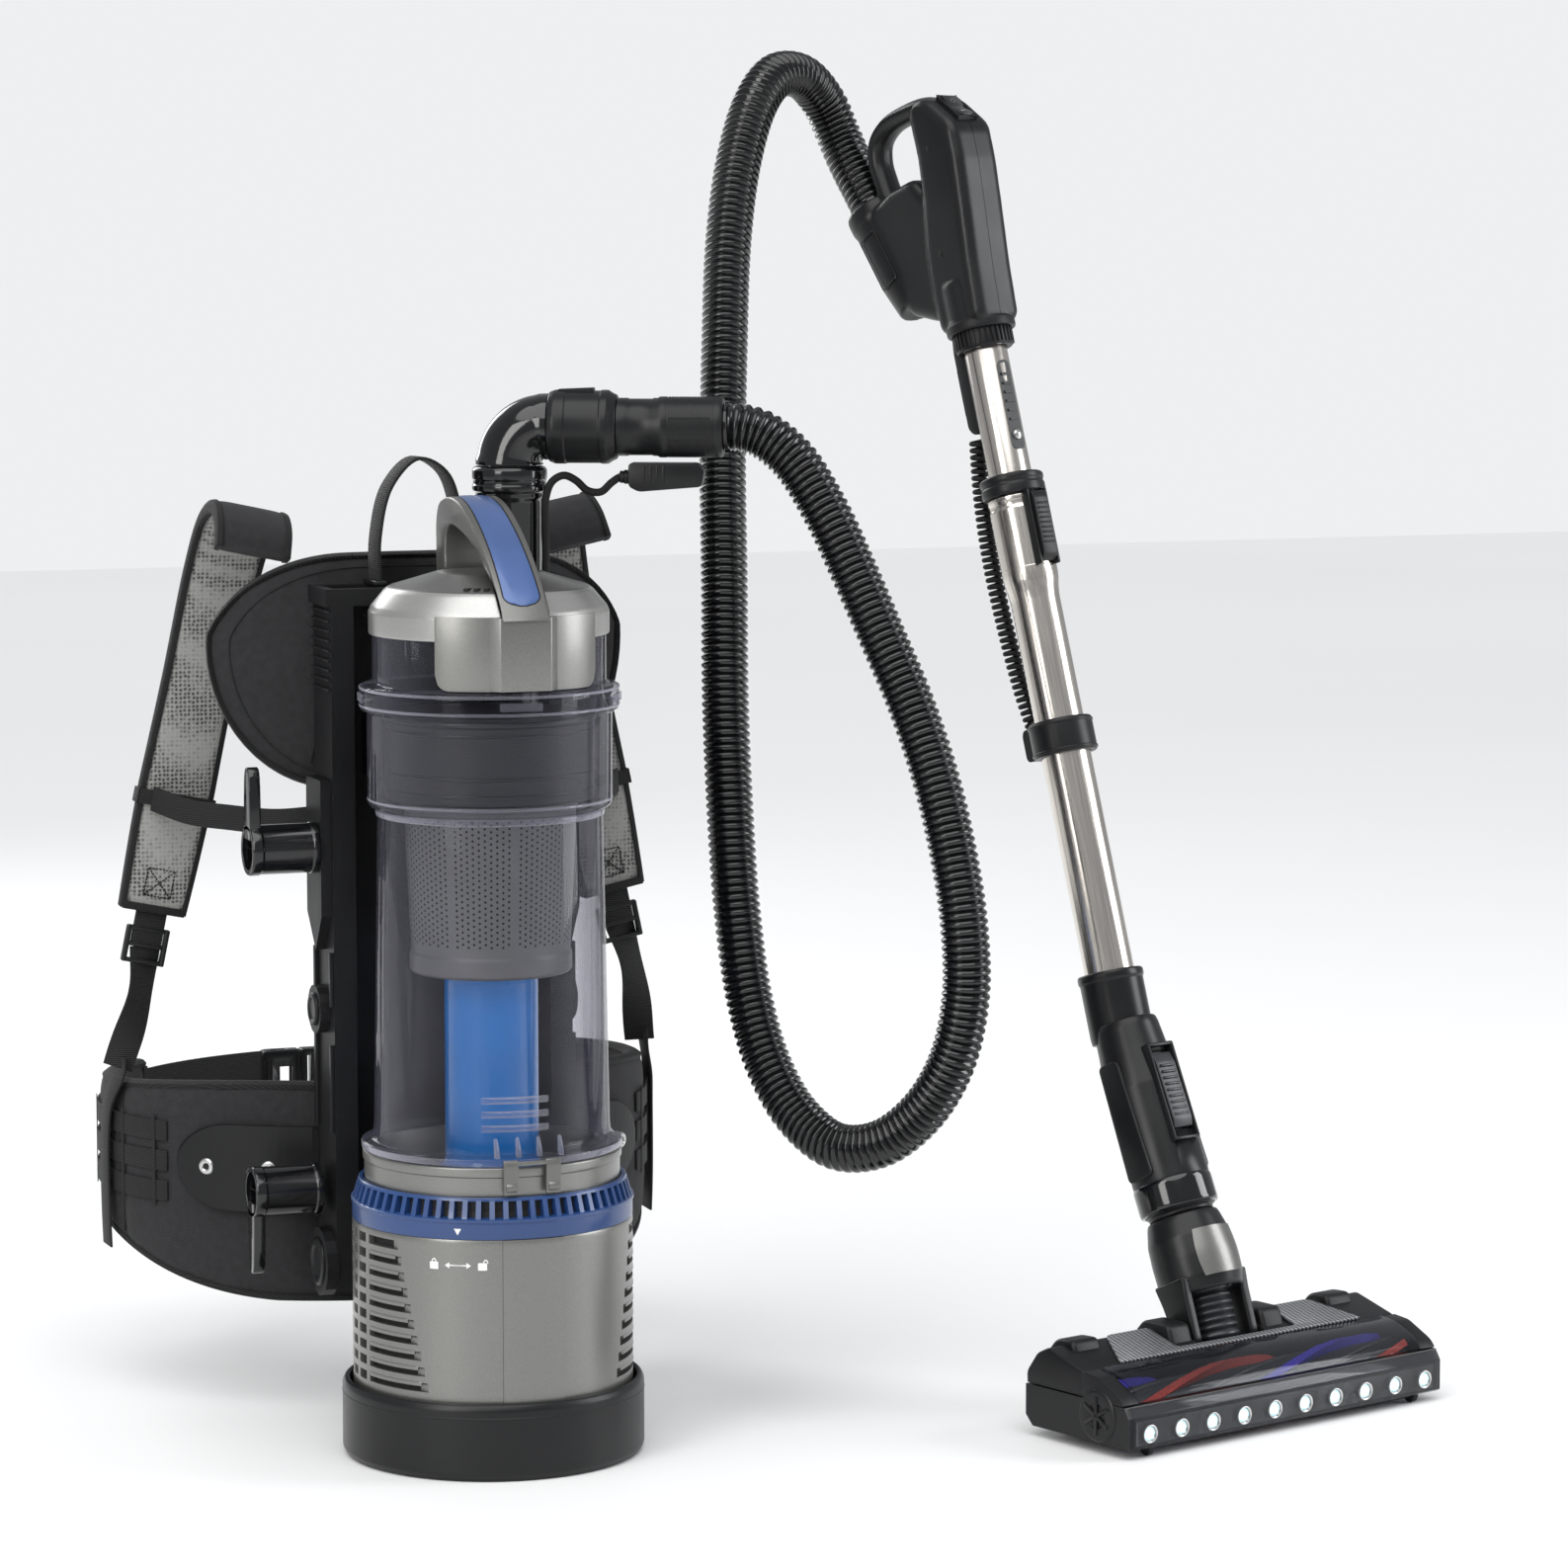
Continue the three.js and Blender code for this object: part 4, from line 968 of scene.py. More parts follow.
def make_collar():
    section = [(82, 493.6), (90, 493.6), (92.3, 497), (92.5, 566), (97.2, 567.4), (98, 571), (98, 583),
               (96, 586.6), (90, 587), (88, 589), (88, 624), (85.4, 624), (85.4, 584), (86.5, 575),
               (89.6, 566),
               (89.6, 501), (88, 497)]
    piece("collar_shell", ring(section, 1.6, 4, 160), CLEAR, "backpack", "bin_collar")
    rims = []
    for r, z in ((97.4, 571), (97.4, 584), (91.8, 500)):
        rims.append(lathe([(r + 0.9 * math.cos(t), z + 1.1 * math.sin(t))
                           for t in np.linspace(0, 2 * math.pi, 10, endpoint=False)], 160, True))
    tabs = [on_drum(soften([(-16, -3), (16, -3), (16, 3), (-16, 3)], 1.4, 3, True), a, 577, 98.2, 1.2)
            for a in (-3, 62, -100, 170)]
    # Rims and tabs take the lighter clear copy: painted highlight.
    piece("collar_rims", [*rims, *tabs], CLEAR_PAINTED_HIGHLIGHT, "backpack")


def make_cyclone():
    drum = turned([(0, 500), (77.5, 500), (79, 502), (79, 559), (80.5, 560), (80.5, 563.5), (77, 564),
                         (0, 562)], 1.0, 3, 128)
    bands = [ring([(78.6, z), (79.8, z + 0.4), (79.8, z + 2.2), (78.6, z + 2.6)], 0.4, 2, 128)
             for z in (507, 520, 552)]
    piece("cyclone_drum", [drum, *bands], CHARCOAL, "backpack", "cyclone_body")

    cone = turned([(0, 369), (59.5, 368.3), (61.4, 370.5), (61.4, 383), (60.2, 385), (60.4, 388),
                         (65, 494), (66.6, 495), (66.6, 499.4), (0, 499.4)], 0.8, 3, 128)
    # The shroud's holes are near-black discs on the cone: painted shade where the holes open.
    shaded_holes = []
    columns, pitch = 88, 4.6
    for c in range(columns):
        if c % 11 in (0,):
            continue
        a = 360 * c / columns
        for k in range(22):
            z = 393.5 + pitch * k + (pitch / 2 if c % 2 else 0)
            if z > 490:
                continue
            r = 60.4 + (z - 388) * 4.6 / 106 + 0.06
            middle = Vector((math.sin(math.radians(a)) * r, -math.cos(math.radians(a)) * r, z))
            side = Vector((math.cos(math.radians(a)), math.sin(math.radians(a)), 0))
            points = [tuple(middle + side * u + Vector((0, 0, v))) for u, v in circle(1.0, 7)]
            shaded_holes.append((points, [list(range(7))], 1))
    piece("shroud_cone", [cone, *shaded_holes], [GREY, PAINTED_SHADE], "backpack", "mesh_shroud")

    tube_wall = ring([(33, 212.7), (36, 212.7), (36, 222), (35.6, 223), (35.6, 362), (36, 363), (36, 367.4),
                              (33, 367.4)], 0.4, 2, 96)
    base = turned([(36, 212.6), (43, 212.6), (41, 218), (37, 221), (35.8, 226)], 1.0, 3, 96)
    piece("centre_tube", [tube_wall, base], AZURE, "backpack", "cyclone_tube")


def make_lid():
    cap = turned([(0, 650), (84.3, 650), (84.3, 624.4), (90.3, 624.4), (90.5, 626), (90.5, 641.5),
                        (88.6, 645.5), (79, 657), (76.2, 659.4), (74, 660.4), (40, 670.5), (0, 673.5)], 1.2,
                 4, 160)
    obj = piece("lid_cap", cap, [SILVER_PAINTED_HIGHLIGHT, SILVER_SHADED_DOME], "lid", "lid")
    # Faces within 76 mm of the axis take the darker silver, painted shade on the dome; the rest take the
    # lighter silver, painted highlight on the rim and chamfer.
    for face in obj.data.polygons:
        c = face.center / MM
        if math.hypot(c.x, c.y) < 76:
            face.material_index = 1
    angles = np.linspace(-43, 43, 61)
    skirt = []
    for r in (91.2, 88.4):
        for a in angles:
            edge = min(1.0, (43 - abs(a)) / 7)
            low = 588 + 12 * (1 - math.sqrt(max(0.0, 1 - (1 - edge) ** 2)))
            for z in (low, 643):
                skirt.append((r * math.sin(math.radians(a)), -r * math.cos(math.radians(a)), z))
    n = len(angles)
    faces = []
    for i in range(n - 1):
        a, b, c, d = 2 * i, 2 * i + 2, 2 * i + 3, 2 * i + 1
        faces += [[a, b, c, d], [a + 2 * n, d + 2 * n, c + 2 * n, b + 2 * n]]
        faces += [[a, a + 2 * n, b + 2 * n, b], [d, c, c + 2 * n, d + 2 * n]]
    faces += [[0, 1, 2 * n + 1, 2 * n], [2 * n - 2, 4 * n - 2, 4 * n - 1, 2 * n - 1]]
    facet = soften([(-27, -86.5), (-19.5, -94.4), (19.5, -94.4), (27, -86.5)], 1.0, 3, True)
    plate = prism(facet, 588.2, 642.6)
    piece("lid_skirt", [(skirt, faces), plate], SILVER, "lid", bevel=0.7, segments=3, edges=40)
    # The vents are near-black slabs set into the dome: painted shade in the openings.
    vents = []
    for k in range(4):
        a = math.radians(-30 + 6 * k)
        at = place(WORLD, (69 * math.sin(a), -69 * math.cos(a), 662.4), rz=math.degrees(a))
        vents.append(moved(prism(soften([(-2.6, -3.4), (1.2, -3.4), (2.8, 3.4), (-1, 3.4)], 0.8, 2, True),
                                 -1.2, 0.45), at))
    piece("lid_vents", vents, PAINTED_SHADE, "lid")


ARCH_OUTER = [(76.5, 661), (76.8, 685), (76.5, 704), (70, 717), (54, 723), (34, 724), (5, 717.5), (-40, 694),
              (-76, 665), (-97, 640)]
ARCH_INNER = [(-91.5, 640), (-91, 646), (-77, 661), (-57, 673), (-20, 691), (16, 701), (38, 703), (50, 696),
              (53.5, 683), (53.5, 668.6), (70, 664.3)]


def make_lid_handle():
    outer = [(p.x, p.y) for p in centripetal([(y, z, 0) for y, z in ARCH_OUTER], 8)]
    inner = [(p.x, p.y) for p in centripetal([(y, z, 0) for y, z in ARCH_INNER], 4)]
    # The arch takes the darker silver copy: painted shade.
    piece("carry_arch", prism(outer + inner, -18.5, 18.5, "X"), SILVER_PAINTED_SHADE, "lid", "lid_handle", bevel=3.2,
          segments=4, edges=50)
    crown = even([Vector((0, y, z)) for y, z in outer], 2.0)
    crown = crown[round(len(crown) * 0.3):round(len(crown) * 0.945)]
    n = len(crown) - 1
    frames = axes_along(crown, (0, 0, 1))
    points, faces = [], []
    for i, (p, (tangent, _, _)) in enumerate(zip(crown, frames)):
        out = Vector((0, -tangent.z, tangent.y))
        out = -out if out.z < 0 and out.y > 0 else out
        out = out if out.dot(Vector((0, -40, 60))) > 0 else -out
        end = min(i, n - i) * 2.0
        half = 13.2 * math.sqrt(max(0.03, 1 - max(0.0, 1 - end / 9) ** 2))
        half *= 0.84 + 0.22 * i / n
        for u in np.linspace(-1, 1, 9):
            lift = 0.9 * math.sqrt(max(0.0, 1 - (abs(u) ** 4)))
            points.append(tuple(p + out * lift + Vector((half * u, 0, 0))))
    for i in range(n):
        for j in range(8):
            faces.append([i * 9 + j, i * 9 + j + 1, i * 9 + j + 10, i * 9 + j + 9])
    piece("arch_inlay", (points, faces), SKY, "lid", "handle_inlay", sharp=70)
    # A near-black line round the inlay: painted shade in the gap between inlay and arch.
    ring = [k * 9 for k in range(n + 1)] + [k * 9 + 8 for k in range(n, -1, -1)]
    seam = [Vector(points[k]) + (Vector((0.5, 0, 0)) if k % 9 == 8 else Vector((-0.5, 0, 0))) for k in ring]
    piece("inlay_seam", tube(seam + seam[:1], 0.55, 6), PAINTED_SHADE, "lid")


make_door()
make_bin()
make_collar()
make_cyclone()
make_lid()
make_lid_handle()


# ---------------------------------------------------------------- inlet, elbow and cuffs
def make_inlet():
    pipe = moved(ring([(22, 484), (24.7, 484), (24.7, 716), (26.5, 719), (26.5, 722.5), (29, 724), (29, 728),
                               (28.2, 729), (28.2, 732), (29, 733), (29, 740), (27.5, 742), (24.7, 743.2),
                               (22, 743.2)], 0.8, 3, 96), Matrix.Translation((INLET_X, INLET_Y, 0)))
    stop = moved(lathe([(0, 481), (24, 481), (24, 484), (0, 484)], 48),
                 Matrix.Translation((INLET_X, INLET_Y, 0)))
    turn = math.degrees(math.atan2(INLET_Y, INLET_X)) - 90
    port = moved(prism(soften([(-14.5, 505.5), (14.5, 505.5), (14.5, 544.5), (-14.5, 544.5)], 3, 4, True),
                       93, 112,
                       "Y"), place(WORLD, rz=turn))
    piece("inlet_pipe", [pipe, stop, port], GLOSS, "backpack", "inlet_tube")


def make_elbow():
    radius = 28
    line = [(0, 0, -radius - 1.0), (0, 0, -radius)]
    line += [(radius - radius * math.cos(a), 0, radius * math.sin(a) - radius)
             for a in np.linspace(0.06, math.pi / 2, 20)]
    line += [(radius + 2.4, 0, 0)]
    n = len(line) - 1

    def section(i):
        return circle(25 + (1.2 if i in (0, 1, 2) else 0) + 0.6 * (i > n - 3), 48)
    bend = sweep(line, section, (0, 1, 0))
    piece("elbow_bend", [bend], GLOSS, "wand", "elbow", at=DUCT, sharp=60)
    cuff = moved(ring([(21.5, 31), (26, 31), (27, 32), (28.5, 36), (28.5, 44), (27.9, 45), (27.9, 71),
                               (28.5, 72), (28.5, 77), (26.4, 80), (24.6, 83.8), (21.5, 83.8)], 0.8, 3, 96),
                 ALONG_X)
    tab = prism(soften([(38, 26), (66, 26), (66, 30.2), (38, 29)], 1.2, 3, True), -6, 6, "Y")
    piece("cuff_swivel", [cuff, tab], BLACK, "wand", "swivel_cuff", at=DUCT)
    profile = [(18.5, 84.4), (22.4, 84.4), (22.4, 92), (21.8, 93), (21.8, 111), (22.4, 112), (22.4, 115),
               (23.5, 117), (23.5, 122)]
    x = 123.0
    while x < 160:
        profile += [(23.0, x), (23.0, x + 0.9), (23.5, x + 1.0), (23.5, x + 1.9)]
        x += 2.0
    profile += [(23.5, 164), (22.4, 165.8), (18.5, 165.8)]
    sleeve = moved(lathe(profile, 96, True), ALONG_X)
    plate = soften([(-8.5, -16), (8.5, -16), (8.5, 16), (-8.5, 16)], 1.5, 3, True)
    label = moved(on_drum(plate, 0, 141, 23.6, 0.35), ALONG_X)
    piece("cuff_sleeve", [sleeve, label], BLACK, "wand", "hose_cuff", at=DUCT, sharp=40)


make_inlet()
make_elbow()


# ---------------------------------------------------------------- back frame and cord hooks
def screw(at, radius=4.2):
    """A sunk cross-head screw, its face towards +Z of the frame at."""
    head = turned([(0, 1.6), (radius * 0.7, 1.4), (radius, 0.5), (radius, -1.2), (0, -1.2)], 0.5, 3, 24)
    slots = [moved(brick((-radius * 0.55, -0.45, 1.3), (radius * 0.55, 0.45, 1.75)), place(WORLD, rz=t))
             for t in (20, 110)]
    return [moved(head, at)] + [inked(moved(s, at), 1) for s in slots]


def make_frame_details():
    keep("back_frame", BLACK_SOFT, 2.2, 3)
    parts = []
    for s in (-1, 1):
        for k in range(9):
            z = 574 + 7.5 * k
            low, high = sorted((s * 95.5, s * 98.6))
            parts.append(brick((low, 99.5, z), (high, 146, z + 1.8)))
        low, high = sorted((s * 95.5, s * 99.0))
        parts.append(brick((low, 99.5, 330), (high, 103, 372)))
        parts.append(brick((low, 143, 232), (high, 148.5, 372)))
        parts.append(brick((low, 99.5, 232), (high, 103, 300)))
        for z, r in ((325, 13), (128, 19)):
            dish = turned([(0, 1.2), (r * 0.6, 1.2), (r * 0.72, 2.6), (r * 0.9, 2.6), (r, 1.6), (r, -1),
                                 (0, -1)], 0.6, 3, 48)
            parts.append(moved(dish, place(WORLD, (s * 104, 128 if r == 13 else 122, z), ry=s * 90)))
    for z in (200, 300, 400, 520, 600):
        parts.append(brick((-70, 149.5, z), (70, 151.4, z + 3)))
    for x in (-60, 0, 60):
        parts.append(brick((x - 1.5, 149.5, 120), (x + 1.5, 151.4, 470)))
    piece("frame_ribs", parts, BLACK, "backpack", bevel=0.5, segments=2)
    rivets = []
    outer = (BELT_A + BELT_T / 2 + 4.6, BELT_B + BELT_T / 2 + 4.6)
    for s in (-1, 1):
        for degrees in (34, 48):
            a = math.radians(s * degrees)
            at = Vector((outer[0] * math.sin(a), BELT_Y - outer[1] * math.cos(a), 192))
            out = Vector((math.sin(a) / outer[0], -math.cos(a) / outer[1], 0)).normalized()
            matrix = Matrix.Translation(at) @ out.to_track_quat("Z", "Y").to_matrix().to_4x4()
            eyelet = ring([(2.4, -1), (2.4, 0.9), (3.4, 1.7), (5.6, 1.5), (6.6, 0.4), (6.8, -1)], 0.5, 3, 40)
            core = lathe([(0, 0.3), (2.6, 0.3), (2.6, -1), (0, -1)], 24)
            rivets += [moved(eyelet, matrix), inked(moved(core, matrix), 1)]
    # The rivets' cores take the near-black: painted shade in the holes.
    piece("paddle_rivets", rivets, [RIVET, PAINTED_SHADE], "backpack")


def make_hook(name, node, z, up, body):
    """A hollow peg with a lip, and a long arm that stands up from its end."""
    peg = moved(ring([(15.5, -158), (19.2, -158), (20, -156.6), (20, -150), (19.3, -149), (19.3, -110),
                              (20, -109), (20, -104.6), (15.5, -104.6)], 0.6, 3, 64), ALONG_X)
    floor = moved(lathe([(0, -112), (16, -112), (16, -109), (0, -109)], 40), ALONG_X)
    fins = [brick((-154, -0.8, -15.8), (-112, 0.8, 15.8)), brick((-154, -15.8, -0.8), (-112, 15.8, 0.8))]
    outline = [(-9, 8), (9, 8), (9.6, 22), (8.6, 44), (7.2, 57)]
    outline += [(6.6 * math.cos(t), 57.2 + 6.6 * math.sin(t)) for t in np.linspace(0.1, math.pi - 0.1, 9)]
    outline += [(-7.2, 57), (-8.6, 44), (-9.6, 22)]
    outline = [(y, v * up) for y, v in outline]
    arm = prism(outline, -158, -149, "X")
    spine = brick((-149.5, -1.4, min(12 * up, 50 * up)), (-147.2, 1.4, max(12 * up, 50 * up)))
    at = Matrix.Translation((0, 120, z))
    piece(name, [peg, floor, *fins, arm, spine], GLOSS, body, node, at=at, bevel=1.1, segments=3, edges=50)


make_frame_details()
make_hook("hook_upper", "upper_cord_hook", 452, 1, "upper_hook")
make_hook("hook_lower", "lower_cord_hook", 186, -1, "lower_hook")


# ---------------------------------------------------------------- harness
def wrinkled(obj, height, size, seed):
    """Moves points by soft noise, as cloth puckers over foam."""
    mesh = obj.data
    mesh.update()
    normals = [v.normal.copy() for v in mesh.vertices]
    for v, normal in zip(mesh.vertices, normals):
        p = v.co / size
        lift = noise.fractal(p + Vector((seed, seed * 1.7, 0)), 0.8, 2.1, 3)
        crease = abs(noise.noise(p * Vector((1.9, 1.9, 0.8)) + Vector((0, seed, 3))))
        v.co += normal * (lift * height - max(0.0, 0.12 - crease) * height * 4.0)
    mesh.update()
    return obj


def shell_pad(outline, mapping, thickness, rings=14, crown=2.4):
    """A padded panel inside an outline, its two faces swelling from the rim; mapping gives each point."""
    n = len(outline)
    centre = Vector((sum(p[0] for p in outline) / n, sum(p[1] for p in outline) / n))
    points, faces = [], []
    for face in (1, -1):
        for ring_number in range(rings + 1):
            s = 1 - (ring_number / rings) ** 1.3 * 0.985
            edge = 1 - s
            swell = math.sqrt(max(0.0, 1 - max(0.0, 1 - edge / 0.14) ** 2))
            depth = face * (thickness / 2 * (0.28 + 0.72 * swell) + crown * (1 - s * s) * (0.5 + 0.5 * face))
            for a, b in outline:
                p = centre + (Vector((a, b)) - centre) * s
                points.append(mapping(p.x, p.y, depth))
    size = (rings + 1) * n
    for side in (0, 1):
        start = side * size
        for i in range(rings):
            for j in range(n):
                k = (j + 1) % n
                quad = [start + i * n + j, start + i * n + k, start + (i + 1) * n + k,
                        start + (i + 1) * n + j]
                faces.append(quad if side else quad[::-1])
        last = start + rings * n
        faces.append([last + j for j in range(n)][::(-1 if side else 1)])
    faces += [[j, (j + 1) % n, size + (j + 1) % n, size + j] for j in range(n)]
    return points, faces


def yoke_point(x, z, depth):
    """A point on the curved yoke: x across, z up, depth towards the wearer."""
    radius = 350 - depth
    a = math.asin(max(-1, min(1, x / 350)))
    return radius * math.sin(a), 514 - radius * math.cos(a), z


def bezier(*p):
    p = [Vector(q) for q in p]
    made = []
    for t in np.linspace(0, 1, 15)[:-1]:
        u = 1 - t
        made.append(tuple(p[0] * u ** 3 + p[1] * 3 * t * u ** 2 + p[2] * 3 * t * t * u + p[3] * t ** 3))
    return made


def make_yoke():
    outline = bezier((-60, 673), (-105, 673), (-148, 653), (-165, 612))
    outline += bezier((-165, 612), (-169, 560), (-138, 499), (-80, 493))
    outline += [(-40, 492), (0, 492), (40, 492)]
    outline += bezier((80, 493), (138, 499), (169, 560), (165, 612))
    outline += bezier((165, 612), (148, 653), (105, 673), (60, 673))
    outline += [(30, 673.5), (0, 673.5), (-30, 673.5)]
    pad = piece("yoke_cushion", shell_pad(outline, yoke_point, 19, 18), TWILL, None, "yoke_pad", sharp=80)
    wrinkled(pad, 0.0011, 0.055, 3)
    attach(pad, "backpack")
    rim = [Vector(yoke_point(x, z, 0)) for x, z in outline]
    rim = even(rim + rim[:1], 4)
    tape = sweep(rim,
                 [(0.0, -10), (2.6, -8.5), (3.1, -3), (3.1, 3), (2.6, 8.5), (0.0, 10), (-1.5, 6),
                  (-1.5, -6)],
                 (0, 1, 0), caps=False)
    piece("yoke_binding", tape, BINDING, "backpack", sharp=60)
    seams = []
    for inset in (0.9,):
        ring_line = [Vector(yoke_point(x * inset, 583 + (z - 583) * inset, s)) for x,
                     z in outline for s in (-9.8,)]
        seams.append(tube(even(ring_line + ring_line[:1], 4), 0.5, 6))
    for x in (-95, 95):
        line = [Vector(yoke_point(x + 14 * math.sin((z - 500) / 60), z, -11.2)) for z in range(512, 652, 6)]
        seams.append(tube(line, 0.55, 6))
    piece("yoke_seams", seams, BINDING, "backpack")


STRAP_ROUTE = [(197, -17), (208, 2), (232, 13), (262, 0), (277, -40), (284, -130), (289, -230), (292, -312)]


def strap_line(step=4.0):
    return even(centripetal([(0, y, z) for y, z in STRAP_ROUTE], 16), step)


def make_strap(side):
    label = "left" if side < 0 else "right"
    at = place(WORLD, (side * 128, 0, 690), ry=-side * STRAP_SPLAY)
    line = strap_line()
    n = len(line) - 1

    def width(i):
        t = i / n
        return 28.6 - 3.2 * max(0.0, (t - 0.75) / 0.25) + 0.8 * math.sin(9 * t)

    def section(i):
        w, t = width(i), i / n
        thick = 5.6 * (0.72 if t > 0.97 or t < 0.02 else 1) + 0.35 * math.sin(23 * t + side)
        made = []
        for k in range(28):
            a = 2 * math.pi * k / 28
            c, s = math.cos(a), math.sin(a)
            made.append((w * math.copysign(abs(c) ** 0.35, c), thick * math.copysign(abs(s) ** 0.7, s)))
        return made
    pad = piece(f"strap_pad_{label}", sweep(line, section, (0, -1, 0)), [TWILL, MESH], None,
                f"shoulder_pad_{label}", at=at, sharp=80)
    frames = axes_along(line, (0, -1, 0))
    centre = np.array([world(at, p) for p in line])
    lifts = [(at.to_3x3() @ f[2]) for f in frames]
    for face in pad.data.polygons:
        i = int(np.argmin(((centre - np.array(face.center)) ** 2).sum(1)))
        if face.normal.dot(lifts[i]) < -0.35:
            face.material_index = 1
    wrinkled(pad, 0.0006, 0.04, 5 + side)
    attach(pad, "backpack")
    edges = []
    for s in (-1, 1):
        rim = [p + f[1] * (s * (width(i) - 0.2)) for i, (p, f) in enumerate(zip(line, frames))]
        edges.append(sweep(rim,
                           [(s * 1.4, -5.2), (s * 2.0, -2), (s * 2.0, 2), (s * 1.4, 5.2), (-s * 2.6, 6.2),
                                 (-s * 2.8, -6.2)], (0, -1, 0)))
    tip = line[-1]
    edges.append(brick((-25.5, tip.y - 6.4, tip.z - 1.2), (25.5, tip.y + 6.4, tip.z + 5)))
    piece(f"strap_binding_{label}", edges, BINDING, "backpack", at=at, sharp=50, bevel=0.5, edges=50)
    details, stitches = [], []
    band = [k for k, p in enumerate(line) if -232 < p.z < -214 and k > n // 2]
    a, b = line[band[0]], line[band[-1]]
    details.append(brick((-31.5, a.y - 7.6, b.z), (31.5, a.y - 6.2, a.z)))
    details.append(brick((-31.5, b.y + 6.2, b.z), (31.5, b.y + 7.6, a.z)))
    for s in (-1, 1):
        details.append(brick((s * 31 - 0.8, a.y - 7.6, b.z), (s * 31 + 0.8, b.y + 7.6, a.z)))
    for face in (-1, 1):
        y0 = tip.y + face * 6.2
        box = [(-11, tip.z + 12), (11, tip.z + 12), (11, tip.z + 34), (-11, tip.z + 34)]
        runs = list(zip(box, box[1:] + box[:1])) + [(box[0], box[2]), (box[1], box[3])]
        for (x0, z0), (x1, z1) in runs:
            steps = max(2, round(math.hypot(x1 - x0, z1 - z0) / 2.6))
            for k in range(steps):
                f, g = (k + 0.15) / steps, (k + 0.8) / steps
                stitches.append(tube([(x0 + (x1 - x0) * f, y0 - 0.4 * (z0 - tip.z) / 20, z0 + (z1 - z0) * f),
                                      (x0 + (x1 - x0) * g, y0 - 0.4 * (z1 - tip.z) / 20,
                                       z0 + (z1 - z0) * g)],
                                     0.6, 6))
    piece(f"strap_bands_{label}", details, WEB_Z, "backpack", at=at, bevel=0.4)
    piece(f"strap_stitches_{label}", stitches, BINDING, "backpack", at=at)

    tail = place(at, (0, 292, -315))
    web = []
    twist = [Vector((3.5 * math.sin(k / 7), 1.2 * math.sin(k / 5), -26 - 3.3 * k)) for k in range(31)]

    def ribbon(k):
        a = 0.5 * math.sin(k / 6.5)
        c, s = math.cos(a), math.sin(a)
        return [(c * u - s * v, s * u + c * v) for u,
                v in ((-12.3, -0.9), (12.3, -0.9), (12.3, 0.9), (-12.3, 0.9))]
    web.append(sweep(twist, ribbon, (0, -1, 0)))
    web.append(brick((-12.3, -2.4, -24), (12.3, -0.8, 10)))
    web.append(brick((-12.3, 0.8, -24), (12.3, 2.4, 10)))
    piece(f"strap_web_{label}", web, WEB_Z, "backpack", f"strap_webbing_{label}", at=tail, bevel=0.35,
          edges=50)
    bars = [brick((-17, -3.2, z0), (17, 3.2, z0 + 3.6)) for z0 in (-14, -27, -40)]
    rails = [brick((s * 15.5 - 2, -3.4, -40), (s * 15.5 + 2, 3.4, -10.4)) for s in (-1, 1)]
    piece(f"ladder_buckle_{label}", bars + rails, BLACK, "backpack", at=tail, bevel=1.2, segments=3,
          edges=50)


def make_side_webs():
    """Webbing from each shoulder pad's band to the frame, and from each tail down to the belt."""
    parts = []
    for s in (-1, 1):
        at = place(WORLD, (s * 128, 0, 690), ry=-s * STRAP_SPLAY)
        start = at @ Vector((s * 20, 280, -223))
        end = Vector((s * 90, 154, 470))
        middle = (start + end) / 2 + Vector((s * 6, 0, -7))
        line = even(centripetal([start, (start + middle) / 2 + Vector((s * 2, 0, -3)), middle,
                                 (end + middle) / 2 + Vector((0, 0, -3)), end], 8), 4)
        parts.append(sweep(line, [(-0.8, -10), (0.8, -10), (0.8, 10), (-0.8, 10)], (0, 0, 1)))
        low = at @ Vector((0, 292, -315 - 124))
        inside = Vector((s * (BELT_A + 13.5), BELT_Y - 20, 206))
        line = even(centripetal([low + Vector((0, 0, 8)), low, (low + inside) / 2 + Vector((s * 3, 4, 0)),
                                 inside, inside + Vector((0, 0, -60)), inside + Vector((-s * 1, 0, -92))],
                                10), 4)
        parts.append(sweep(line, [(-12.3, -0.9), (12.3, -0.9), (12.3, 0.9), (-12.3, 0.9)], (s, 0, 0)))
    piece("side_webbing", parts, WEB_Z, "backpack", bevel=0.3, edges=50)


def make_carry_strap():
    path = [(-51, 653), (-50, 690), (-40, 728), (-18, 749), (4, 738), (16, 700), (20, 653)]
    line = even(centripetal([(x, 133, z) for x, z in path], 10), 4)
    line = [p + Vector((0, 2.2 * math.sin(math.pi * i / (len(line) - 1)), 0)) for i, p in enumerate(line)]
    band = sweep(line, [(-14.6, -1.2), (14.6, -1.2), (14.6, 1.2), (-14.6, 1.2)], (1, 0, 0))
    piece("carry_loop", band, WEB_Z, "backpack", "carry_strap", bevel=0.4, edges=50)
    anchors = [brick((x - 5, 115.5, 652), (x + 5, 150, 656)) for x in (-51, 20)]
    piece("loop_anchors", anchors, BLACK, "backpack", bevel=1.2, segments=3)


make_yoke()
make_strap(-1)
make_strap(1)
make_side_webs()
make_carry_strap()


# ---------------------------------------------------------------- waist belt
BELT_HEIGHTS = ((-168, 88, 258), (-140, 88, 258), (0, 128, 246), (130, 150, 240), (168, 151, 239))


def belt_span(y):
    """Lower and upper edge of the padding at depth y from the belt's middle."""
    for (a, low_a, high_a), (b, low_b, high_b) in zip(BELT_HEIGHTS, BELT_HEIGHTS[1:]):
        if y <= b:
            t = (y - a) / (b - a)
            t = t * t * (3 - 2 * t) * 0.5 + t * 0.5
            return low_a + (low_b - low_a) * t, high_a + (high_b - high_a) * t
    return BELT_HEIGHTS[-1][1:]


